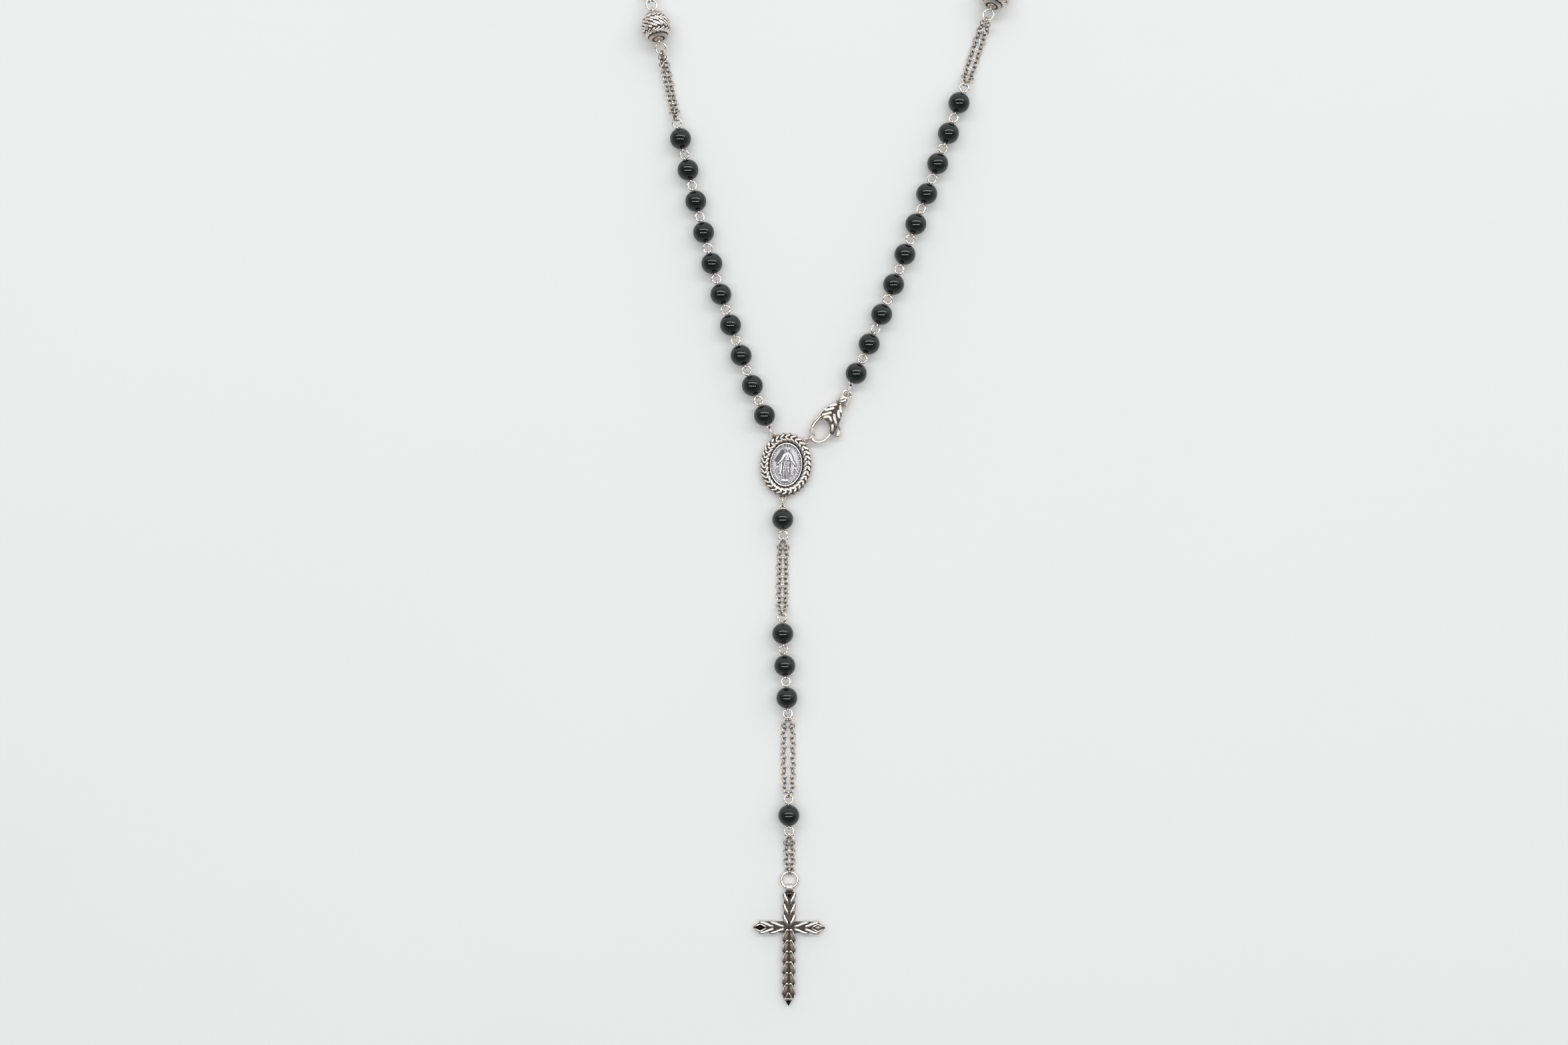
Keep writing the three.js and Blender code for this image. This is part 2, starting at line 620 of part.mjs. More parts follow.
/** The clasp and the ring that it hooks into. */
function placeClasp() {
  const hanging = new THREE.Vector3(UPRIGHT_RING_RADIUS, 0, CLASP_HEIGHT);
  const claspRing = toSolid(ring(UPRIGHT_RING_RADIUS, RING_WIRE, hanging, true, 10));
  place('clasp_ring', claspRing, SILVER, LUG_CLASP, CLASP_RING_HEADING);
  place('clasp_body', claspBody(), DARK_SILVER, CLASP_CENTRE, CLASP_HEADING);
  place('clasp_lever', claspLever(), SILVER, CLASP_CENTRE, CLASP_HEADING);
  place('clasp_pin', claspPin(), SILVER, CLASP_CENTRE, CLASP_HEADING);
  place('clasp_spring', claspSpring(), SILVER, CLASP_CENTRE, CLASP_HEADING);
  place('clasp_swivel', claspSwivel(), SILVER, CLASP_CENTRE, CLASP_HEADING);
}

place('medal_frame', medalFrame(), DARK_SILVER);
place('medal_insert', medalInsert(), SILVER);
placeClasp();
lay(LOOP_LINE, halfLoop('left'), 1);
lay(LOOP_LINE, halfLoop('right'), -1);
lay(PENDANT_LINE, pendant(), 1);

export default rosary;
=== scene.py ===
"""Looks of a five-decade rosary laid flat: black stone beads, silver findings, medal, clasp and cross.

Every mesh is made in millimetres in its link's own frame, with x along the strand from the link's
pivot, y to the left and z up off the table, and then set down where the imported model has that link.
"""

import json
import logging
import math
import random
from collections.abc import Callable
from dataclasses import dataclass, field
from enum import Enum

import bmesh
import bpy
import numpy as np
from mathutils import Matrix, Vector

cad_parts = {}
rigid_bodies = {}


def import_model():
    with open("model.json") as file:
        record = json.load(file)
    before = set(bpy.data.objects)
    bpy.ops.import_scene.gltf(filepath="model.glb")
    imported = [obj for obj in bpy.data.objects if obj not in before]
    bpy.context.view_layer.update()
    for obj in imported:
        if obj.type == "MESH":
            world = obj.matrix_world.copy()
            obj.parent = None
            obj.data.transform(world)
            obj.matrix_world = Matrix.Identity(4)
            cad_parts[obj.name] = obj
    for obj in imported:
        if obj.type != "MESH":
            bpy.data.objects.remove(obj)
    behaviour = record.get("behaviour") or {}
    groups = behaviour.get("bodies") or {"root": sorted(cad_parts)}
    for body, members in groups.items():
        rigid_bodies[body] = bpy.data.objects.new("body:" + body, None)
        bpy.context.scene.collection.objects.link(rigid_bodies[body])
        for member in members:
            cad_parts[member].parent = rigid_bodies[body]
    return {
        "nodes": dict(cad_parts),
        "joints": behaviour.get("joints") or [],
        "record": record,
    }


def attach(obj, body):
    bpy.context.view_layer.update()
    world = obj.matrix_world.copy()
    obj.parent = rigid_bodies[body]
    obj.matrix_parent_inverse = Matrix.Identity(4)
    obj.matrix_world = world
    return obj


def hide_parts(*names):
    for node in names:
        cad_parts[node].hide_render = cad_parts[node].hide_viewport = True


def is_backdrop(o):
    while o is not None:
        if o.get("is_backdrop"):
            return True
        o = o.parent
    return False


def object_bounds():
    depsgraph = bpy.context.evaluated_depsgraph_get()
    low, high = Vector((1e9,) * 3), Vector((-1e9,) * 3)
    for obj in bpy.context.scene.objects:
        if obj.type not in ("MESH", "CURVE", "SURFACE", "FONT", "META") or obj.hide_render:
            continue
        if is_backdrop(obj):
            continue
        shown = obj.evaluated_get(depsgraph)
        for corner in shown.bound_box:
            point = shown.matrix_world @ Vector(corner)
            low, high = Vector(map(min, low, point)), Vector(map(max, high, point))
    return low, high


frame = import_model()
cad_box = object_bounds()

logging.basicConfig(level=logging.INFO, format="%(message)s")
log = logging.getLogger("rosary")

MM = 0.001
WELD = 1e-4
SMOOTH_ANGLE = math.radians(42)
# How black the silver is at each point: oxide, and painted shade on the chain and the bead findings.
TARNISH_AND_SHADE = "tarnish"

Point = tuple[float, float, float]
Colour = tuple[float, float, float]
Profile = list[tuple[float, float]]

UP = Vector((0, 0, 1))
UPRIGHT = Matrix.Rotation(math.pi / 2, 4, "X")
WALK_STEPS = 720
ROUNDING_SEGMENTS = 3
SENSOR_WIDTH = 36.0


def smoothstep(low: float, high: float, value: float) -> float:
    """Returns how far a value has gone from low to high, eased at both ends, from 0 to 1."""
    share = min(1.0, max(0.0, (value - low) / (high - low)))
    return share * share * (3 - 2 * share)


def shift(along: float, across: float, height: float) -> Matrix:
    """Returns a plain move in millimetres."""
    return Matrix.Translation((along, across, height))


def placed(name: str, data: bpy.types.ID) -> bpy.types.Object:
    """Puts a mesh, a lamp or a camera into the scene as an object of that name."""
    made = bpy.data.objects.new(name, data)
    bpy.context.scene.collection.objects.link(made)
    return made


def corners_of(geometry: list) -> list[bmesh.types.BMVert]:
    """Returns the vertices among what a bmesh operator made."""
    return [item for item in geometry if isinstance(item, bmesh.types.BMVert)]


def close_holes(bm: bmesh.types.BMesh) -> None:
    """Fills every open border of a mesh."""
    bmesh.ops.holes_fill(bm, edges=[edge for edge in bm.edges if edge.is_boundary])


# Finishes.


class Socket:
    """A node's output that takes part in arithmetic: an expression adds its Math nodes."""

    def __init__(self, graph: "Graph", source: bpy.types.NodeSocket) -> None:
        """Wraps an output socket of a graph."""
        self.graph = graph
        self.source = source

    def __add__(self, other: "Socket | float") -> "Socket":
        """Adds."""
        return self.graph.maths("ADD", self, other)

    def __sub__(self, other: "Socket | float") -> "Socket":
        """Subtracts."""
        return self.graph.maths("SUBTRACT", self, other)

    def __rsub__(self, other: float) -> "Socket":
        """Subtracts this from a number."""
        return self.graph.maths("SUBTRACT", other, self)

    def __mul__(self, other: "Socket | float") -> "Socket":
        """Multiplies."""
        return self.graph.maths("MULTIPLY", self, other)

    def __pow__(self, other: float) -> "Socket":
        """Raises to a power."""
        return self.graph.maths("POWER", self, other)

    __radd__ = __add__
    __rmul__ = __mul__

    def clamped(self) -> "Socket":
        """Keeps the value from 0 to 1."""
        return self.graph.node("ShaderNodeClamp", {}, {"Value": self})


class Graph:
    """The node tree of a material or a world, filled one node at a time."""

    def __init__(self, owner: bpy.types.Material | bpy.types.World) -> None:
        """Empties the owner's tree."""
        self.owner = owner
        owner.use_nodes = True
        self.tree = owner.node_tree
        self.tree.nodes.clear()

    def node(self, kind: str, settings: dict, inputs: dict,
             output: int | str | None = 0) -> Socket | None:
        """Adds a node.

        Args:
            kind: The node's type.
            settings: Its own settings, set first; "stops" fills a colour ramp.
            inputs: Values or links of its sockets, by name or number.
            output: The output socket to return, or None.

        Returns:
            The chosen output.
        """
        made = self.tree.nodes.new(kind)
        for key, value in settings.items():
            if key != "stops":
                setattr(made, key, value)
                continue
            elements = made.color_ramp.elements
            for index, (place, colour) in enumerate(value):
                stop = elements[index] if index < len(elements) else elements.new(place)
                stop.position = place
                stop.color = (*colour, 1)
        for key, value in inputs.items():
            socket = made.inputs[key]
            if isinstance(value, Socket):
                self.tree.links.new(value.source, socket)
            else:
                socket.default_value = value
        return None if output is None else Socket(self, made.outputs[output])

    def maths(self, operation: str, first: Socket | float, second: Socket | float) -> Socket:
        """Adds a Math node on two values."""
        return self.node("ShaderNodeMath", {"operation": operation}, {0: first, 1: second})

    def place(self) -> Socket:
        """Returns Object coordinates, which on these pieces are the row frame's metres."""
        return self.node("ShaderNodeTexCoord", {}, {}, "Object")

    def noise(self, grain_mm: float, detail: float = 3.0) -> Socket:
        """Returns cloudy noise whose patches are about that many millimetres across."""
        inputs = {"Vector": self.place(), "Scale": 1 / (grain_mm * MM), "Detail": detail}
        return self.node("ShaderNodeTexNoise", {}, inputs)

    def attribute(self, name: str) -> Socket:
        """Returns a number that each point of the mesh carries."""
        return self.node("ShaderNodeAttribute", {"attribute_name": name}, {}, "Fac")

    def mix(self, share: Socket, low: Colour, high: Colour) -> Socket:
        """Mixes two colours by a share from 0 to 1."""
        inputs = {"Factor": share, 6: (*low, 1), 7: (*high, 1)}
        return self.node("ShaderNodeMix", {"data_type": "RGBA"}, inputs, 2)

    def bump(self, height: Socket, depth_mm: float) -> Socket:
        """Returns normals roughened by a height from 0 to 1."""
        inputs = {"Height": height, "Distance": depth_mm * MM, "Strength": 1.0}
        return self.node("ShaderNodeBump", {}, inputs)

    def surface(self, inputs: dict) -> bpy.types.Material:
        """Ends the graph in a Principled surface with those inputs, and returns the material."""
        shader = self.node("ShaderNodeBsdfPrincipled", {}, inputs)
        self.node("ShaderNodeOutputMaterial", {}, {"Surface": shader}, None)
        return self.owner


class Finish(Enum):
    """The finishes of the rosary's pieces, by their slot in the record."""

    ONYX = "onyx"
    OXIDISED = "oxidised_silver"
    STRUCK = "struck_silver"
    POLISHED = "polished_silver"
    CHAIN = "chain_silver"
    BLACK = "oxidised_silver.black"

    @property
    def slot(self) -> str:
        """The record's slot that the finish stands in."""
        return self.value.split(".")[0]


@dataclass(frozen=True)
class Silver:
    """Silver that is bright where it is rubbed and blackened where it isn't, with painted shade where
    a piece carries it.
    """

    name: str
    bright: Colour
    mid: Colour
    black: Colour
    polish: float
    dull: float
    grime: float
    grain_mm: float
    texture_mm: float

    def material(self) -> bpy.types.Material:
        """Returns the silver as a material that reads how black each piece is, from oxide and painted
        shade.
        """
        graph = Graph(bpy.data.materials.new(self.name))
        cloud = graph.noise(self.grain_mm, 4.0)
        fine = graph.noise(self.grain_mm * 0.16, 2.0)
        tarnish = graph.attribute(TARNISH_AND_SHADE) + (cloud - 0.5) * (self.grime * 2)
        tarnish = (tarnish + (fine - 0.5) * self.grime).clamped()
        stops = [(0.0, self.bright), (0.45, self.mid), (1.0, self.black)]
        colour = graph.node("ShaderNodeValToRGB", {"stops": stops}, {"Fac": tarnish})
        roughness = tarnish * (self.dull - self.polish) + self.polish
        roughness = roughness + (cloud - 0.5) * 0.08
        return graph.surface({
            "Base Color": colour,
            "Metallic": 1 - tarnish ** 2 * 0.55,
            "Roughness": roughness.clamped(),
            "Normal": graph.bump(fine, self.texture_mm),
        })


@dataclass(frozen=True)
class Onyx:
    """Black stone, polished, with the faintest green cloud in its depth."""

    name: str
    body: Colour
    cloud: Colour
    polish: float
    smear: float
    refraction: float

    def material(self) -> bpy.types.Material:
        """Returns the stone as a material."""
        graph = Graph(bpy.data.materials.new(self.name))
        veil = graph.noise(2.4, 5.0)
        smear = graph.noise(1.1, 3.0)
        return graph.surface({
            "Base Color": graph.mix(veil ** 2, self.body, self.cloud),
            "Roughness": smear ** 2 * self.smear + self.polish,
            "IOR": self.refraction,
            "Normal": graph.bump(graph.noise(0.5, 2.0), 0.0006),
        })


@dataclass(frozen=True)
class Table:
    """Matt pale table top."""

    name: str
    low: Colour
    high: Colour
    roughness: float

    def material(self) -> bpy.types.Material:
        """Returns the table's surface as a material."""
        graph = Graph(bpy.data.materials.new(self.name))
        shade = graph.noise(180.0, 2.0)
        return graph.surface({
            "Base Color": graph.mix(shade, self.low, self.high),
            "Roughness": graph.noise(9.0, 3.0) * 0.06 + self.roughness,
        })


FINISHES = {
    Finish.ONYX: Onyx("polished_onyx", (0.003, 0.0036, 0.0036), (0.008, 0.011, 0.0095),
                      0.05, 0.06, 1.52),
    Finish.OXIDISED: Silver("oxidised_silver", (0.83, 0.765, 0.715), (0.36, 0.305, 0.265),
                            (0.050, 0.038, 0.032), 0.25, 0.55, 0.10, 1.6, 0.004),
    Finish.STRUCK: Silver("struck_silver", (0.88, 0.87, 0.885), (0.42, 0.41, 0.42),
                          (0.08, 0.075, 0.08), 0.24, 0.45, 0.06, 1.2, 0.003),
    Finish.POLISHED: Silver("polished_silver", (0.80, 0.735, 0.68), (0.40, 0.345, 0.305),
                            (0.05, 0.04, 0.035), 0.15, 0.45, 0.10, 1.4, 0.002),
    Finish.CHAIN: Silver("chain_silver", (0.76, 0.70, 0.65), (0.28, 0.24, 0.21),
                         (0.030, 0.025, 0.022), 0.20, 0.5, 0.14, 1.0, 0.003),
    Finish.BLACK: Silver("blackened_silver", (0.030, 0.027, 0.026), (0.020, 0.018, 0.018),
                         (0.010, 0.009, 0.009), 0.10, 0.22, 0.10, 0.9, 0.002),
}


# Mesh work.


@dataclass(frozen=True)
class Seat:
    """Where a link's own frame lies on the table."""

    start: Vector
    heading: float

    def matrix(self) -> Matrix:
        """Takes millimetres in the link's frame to metres in the row frame."""
        flat = Vector((self.start.x, self.start.y, 0))
        turn = Matrix.Rotation(self.heading, 4, "Z")
        return Matrix.Scale(MM, 4) @ Matrix.Translation(flat) @ turn


@dataclass(frozen=True)
class Station:
    """One section of a bar that changes along its run."""

    centre: Vector
    width: float
    height: float


def curve_through(points: list[Point], steps: int) -> list[Vector]:
    """Returns points along a smooth curve through the given ones.

    Args:
        points: The points that the curve passes.
        steps: How many steps it takes from each to the next.
    """
    known = [Vector(p) for p in points]
    padded = [2 * known[0] - known[1], *known, 2 * known[-1] - known[-2]]
    made = []
    for a, b, c, d in zip(padded, padded[1:], padded[2:], padded[3:]):
        for step in range(steps):
            t = step / steps
            made.append(0.5 * (2 * b + (c - a) * t + (2 * a - 5 * b + 4 * c - d) * t ** 2
                               + (3 * b - a - 3 * c + d) * t ** 3))
    return [*made, known[-1]]


def rounded_outline(corners: Profile) -> Profile:
    """Returns a smooth closed outline through a few corners."""
    points = [(x, y, 0) for x, y in corners]
    return [(p.x, p.y) for p in curve_through([*points, points[0]], 3)[:-1]]


def rounded_bar(path: list[Vector], width: float, height: float, least: float) -> list[Station]:
    """Returns the sections of a bar that keeps its width until near its rounded ends.

    Args:
        path: The bar's middle line.
        width: Its full width.
        height: Its full height.
        least: The square of the share of full size that its ends keep.
    """
    stations = []
    for index, centre in enumerate(path):
        share = abs(2 * index / (len(path) - 1) - 1)
        full = math.sqrt(max(least, 1 - share ** 6))
        stations.append(Station(centre, width * full, height * full))
    return stations


def walk(path: Callable[[float], Vector], count: int, closed: bool) -> list[tuple[Vector, Vector]]:
    """Steps evenly along a path.

    Args:
        path: Gives the point at a share from 0 to 1.
        count: How many places to find.
        closed: Whether the path comes back to its start.

    Returns:
        Each place and its direction.
    """
    points = [path(i / WALK_STEPS) for i in range(WALK_STEPS + 1)]
    runs = [0.0]
    for a, b in zip(points, points[1:]):
        runs.append(runs[-1] + (b - a).length)
    gaps = count if closed else count - 1
    places, at = [], 0
    for index in range(count):
        goal = runs[-1] * index / gaps
        while at < WALK_STEPS - 1 and runs[at + 1] < goal:
            at += 1
        share = (goal - runs[at]) / (runs[at + 1] - runs[at])
        point = points[at].lerp(points[at + 1], share)
        places.append((point, (points[at + 1] - points[at]).normalized()))
    return places


def basis(origin: Vector, along: Vector, up: Vector) -> Matrix:
    """Returns the matrix of a frame whose x runs along and whose z is as near up as it can be."""
    x = along.normalized()
    y = up.cross(x).normalized()
    z = x.cross(y)
    return Matrix.Translation(origin) @ Matrix((x, y, z)).transposed().to_4x4()


class Workpiece:
    """A mesh on the bench, in millimetres in its link's own frame."""

    def __init__(self) -> None:
        """Starts with nothing."""
        self.bm = bmesh.new()

    def absorb(self, part: bmesh.types.BMesh, matrix: Matrix = Matrix()) -> None:
        """Adds a shape made on its own, moved into place, and frees it."""
        mesh = bpy.data.meshes.new("part")
        part.to_mesh(mesh)
        part.free()
        self.add(mesh, matrix)

    def add(self, mesh: bpy.types.Mesh, matrix: Matrix = Matrix()) -> None:
        """Adds a mesh, moved into place, and removes it."""
        mesh.transform(matrix)
        self.bm.from_mesh(mesh)
        bpy.data.meshes.remove(mesh)

    def turned(self, profile: Profile, steps: int, matrix: Matrix = Matrix(),
               closed: bool = False) -> None:
        """Spins a profile about the x axis.

        Args:
            profile: The points as distance along the axis and radius.
            steps: How many steps make the full turn.
            matrix: Where it goes.
            closed: Whether the last point joins the first, as on a bored piece.
        """
        bm = bmesh.new()
        points = [bm.verts.new((along, 0, radius)) for along, radius in profile]
        pairs = list(zip(points, points[1:]))
        if closed:
            pairs.append((points[-1], points[0]))
        edges = [bm.edges.new(pair) for pair in pairs]
        bmesh.ops.spin(bm, geom=points + edges, axis=(1, 0, 0), angle=math.tau, steps=steps,
                       use_merge=True)
        bmesh.ops.remove_doubles(bm, verts=bm.verts, dist=WELD)
        self.absorb(bm, matrix)

    def ring(self, radius: float, wire: float, matrix: Matrix = Matrix(), steps: int = 32,
             sides: int = 10, seam: float = 0.0) -> None:
        """Bends round wire into a ring about z.

        Args:
            radius: From the centre to the middle of the wire.
            wire: The wire's own radius.
            matrix: Where it goes.
            steps: How many steps go round.
            sides: How many sides the wire has.
            seam: The angle left open where the wire's ends meet, or 0.
        """
        bm = bmesh.new()
        stand = shift(radius, 0, 0) @ UPRIGHT
        made = bmesh.ops.create_circle(bm, segments=sides, radius=wire, matrix=stand)
        edges = list({edge for vert in made["verts"] for edge in vert.link_edges})
        bmesh.ops.spin(bm, geom=made["verts"] + edges, axis=(0, 0, 1),
                       angle=math.tau - seam, steps=steps, use_merge=not seam)
        if seam:
            close_holes(bm)
        self.absorb(bm, matrix)

    def swept(self, stations: list[Station], up: Vector, sides: int = 12,
              squareness: float = 1.0) -> None:
        """Draws an oval section along its stations and closes both ends.

        Args:
            stations: The sections in order.
            up: The direction of the sections' height.
            sides: How many sides a section has.
            squareness: 1 for an oval, less for a section with full shoulders.
        """
        bm = bmesh.new()
        centres = [s.centre for s in stations]
        ahead = [*centres[1:], 2 * centres[-1] - centres[-2]]
        behind = [2 * centres[0] - centres[1], *centres[:-1]]
        turn = Matrix.Rotation(math.pi / 2, 4, "Y")
        frames = []
        for station, before, after in zip(stations, behind, ahead):
            size = Matrix.Diagonal((1, station.width / 2, station.height / 2, 1))
            frames.append(basis(station.centre, after - before, up) @ size @ turn)
        loop = bmesh.ops.create_circle(bm, segments=sides, radius=1.0)["verts"]
        for vertex in loop:
            x, y, _ = vertex.co
            vertex.co = (math.copysign(abs(x) ** squareness, x),
                         math.copysign(abs(y) ** squareness, y), 0)
        bmesh.ops.transform(bm, matrix=frames[0], verts=loop)
        edges = list({edge for vert in loop for edge in vert.link_edges})
        bmesh.ops.contextual_create(bm, geom=edges)
        for here, there in zip(frames, frames[1:]):
            grown = bmesh.ops.extrude_edge_only(bm, edges=edges)["geom"]
            loop = corners_of(grown)
            edges = [g for g in grown if isinstance(g, bmesh.types.BMEdge)
                     and all(v in loop for v in g.verts)]
            bmesh.ops.transform(bm, matrix=there @ here.inverted(), verts=loop)
        bmesh.ops.contextual_create(bm, geom=edges)
        self.absorb(bm)

    def slab(self, outline: list[tuple[float, float]], low: float, high: float,
             bevel: float = 0.0, start: float | None = None) -> None:
        """Stands a flat outline up between two heights.

        Args:
            outline: The corners in order.
            low: The lower face's height.
            high: The upper face's height.
            bevel: The width of the rounding on its edges, or 0.
            start: The x that it is cut off below, or None.
        """
        bm = bmesh.new()
        corners = [bm.verts.new((x, y, low)) for x, y in outline]
        face = bm.faces.new(corners)
        grown = bmesh.ops.extrude_face_region(bm, geom=[face])["geom"]
        bmesh.ops.translate(bm, vec=(0, 0, high - low), verts=corners_of(grown))
        if bevel:
            edges = [e for e in bm.edges if abs(e.verts[0].co.z - e.verts[1].co.z) < WELD]
            bmesh.ops.bevel(bm, geom=edges, offset=bevel, affect="EDGES", segments=ROUNDING_SEGMENTS,
                            profile=0.5, material=-1)
        if start is not None:
            bmesh.ops.bisect_plane(bm, geom=[*bm.verts, *bm.edges, *bm.faces],
                                   plane_co=(start, 0, 0), plane_no=(-1, 0, 0), clear_outer=True)
            close_holes(bm)
        self.absorb(bm)

    def stamp(self, template: bpy.types.Mesh, matrix: Matrix) -> None:
        """Adds a copy of a finished mesh."""
        self.add(template.copy(), matrix)

    def template(self) -> bpy.types.Mesh:
        """Ends the work as a mesh to be stamped elsewhere."""
        mesh = bpy.data.meshes.new("template")
        self.bm.to_mesh(mesh)
        self.bm.free()
        return mesh


@dataclass(frozen=True)
class Bar:
    """A round-ended bar of the braid, lying along x, with a domed section.

    A flatness under 1 squares its shoulders.
    """

    length: float
    width: float
    height: float
    flatness: float = 0.7

    def template(self) -> bpy.types.Mesh:
        """Returns the bar as a mesh of a few dozen faces."""
        work = Workpiece()
        lie = Matrix.Diagonal((self.width, self.width, self.height, 1))
        made = bmesh.ops.create_uvsphere(
            work.bm, u_segments=10, v_segments=6, radius=0.5,
            matrix=lie @ Matrix.Rotation(math.pi / 2, 4, "Y"))
        for side in (-1, 1):
            half = [v for v in made["verts"] if v.co.x * side > WELD]
            shift = side * (self.length - self.width) / 2
            bmesh.ops.translate(work.bm, vec=(shift, 0, 0), verts=half)
        for vertex in work.bm.verts:
            share = abs(2 * vertex.co.z / self.height) ** self.flatness
            vertex.co.z = math.copysign(share * self.height / 2, vertex.co.z)
        return work.template()


class Bench:
    """Turns finished work into pieces of the rosary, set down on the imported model."""

    def __init__(self) -> None:
        """Reads the links' places and mixes the finishes."""
        self.bodies: dict[str, list[str]] = frame["record"]["behaviour"]["bodies"]
        self.pivots = {j["child"]: Vector(j["pos_m"]) / MM for j in frame["joints"]}
        self.axes = {j["child"]: Vector(j["axis"]) for j in frame["joints"]}
        self.after: dict[str, list[str]] = {}
        for joint in frame["joints"]:
            self.after.setdefault(joint["parent"], []).append(joint["child"])
        self.materials = {key: look.material() for key, look in FINISHES.items()}
        self.count = 0

    def middle(self, body: str) -> Vector:
        """Returns the mean place of a body's own vertices, in millimetres."""
        total, count = Vector(), 0
        for node in self.bodies[body]:
            for vertex in frame["nodes"][node].data.vertices:
                total += vertex.co
                count += 1
        return total / (count * MM)

    def seat(self, body: str) -> Seat:
        """Returns where a strand link lies: from its pivot towards the next link's."""
        start = self.pivots[body]
        following = self.after.get(body, [])
        end = self.pivots[following[0]] if following else self.middle(body)
        return Seat(start, math.atan2(end.y - start.y, end.x - start.x))

    def run(self, body: str) -> tuple[float, float, float]:
        """Returns a link's length to the next pivot, and the two pivots' heights."""
        start = self.pivots[body]
        end = self.pivots[self.after[body][0]]
        return (end - start).xy.length, start.z, end.z

    def finish(self, work: Workpiece, name: str, body: str, seat: Seat, look: Finish,
               tarnish: Callable[[Vector], float] | None = None,
               nodes: list[str] | None = None) -> bpy.types.Object:
        """Ends a piece: sets it down, gives it its finish and rides it on its body.

        Args:
            work: The mesh.
            name: The piece's name.
            body: The body it moves with.
            seat: Where its link lies.
            look: Its finish.
            tarnish: Gives how black the silver is at a point of the link's frame, or None.
            nodes: The model's nodes that it stands for, or None for all of the body's.

        Returns:
            The piece.
        """
        bm = work.bm
        bmesh.ops.recalc_face_normals(bm, faces=bm.faces)
        if tarnish is not None:
            layer = bm.verts.layers.float.get(TARNISH_AND_SHADE) or bm.verts.layers.float.new(TARNISH_AND_SHADE)
            for vertex in bm.verts:
                vertex[layer] = tarnish(vertex.co)
        bmesh.ops.transform(bm, matrix=seat.matrix(), verts=bm.verts)
        mesh = bpy.data.meshes.new(name)
        bm.to_mesh(mesh)
        bm.free()
        mesh.shade_smooth()
        mesh.set_sharp_from_angle(angle=SMOOTH_ANGLE)
        mesh.materials.append(self.materials[look])
        piece = placed(name, mesh)
        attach(piece, body)
        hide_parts(*(nodes or self.bodies[body]))
        look.slot
        self.count += 1
        log.info("%-28s %6d faces on %s", name, len(mesh.polygons), body)
        return piece

    def keep(self, node: str, look: Finish) -> None:
        """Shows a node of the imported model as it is, in one of the finishes."""
        shown = frame["nodes"][node]
        shown.data.materials.clear()
        shown.data.materials.append(self.materials[look])
        log.info("%-28s kept from the model", node)


# Strand.


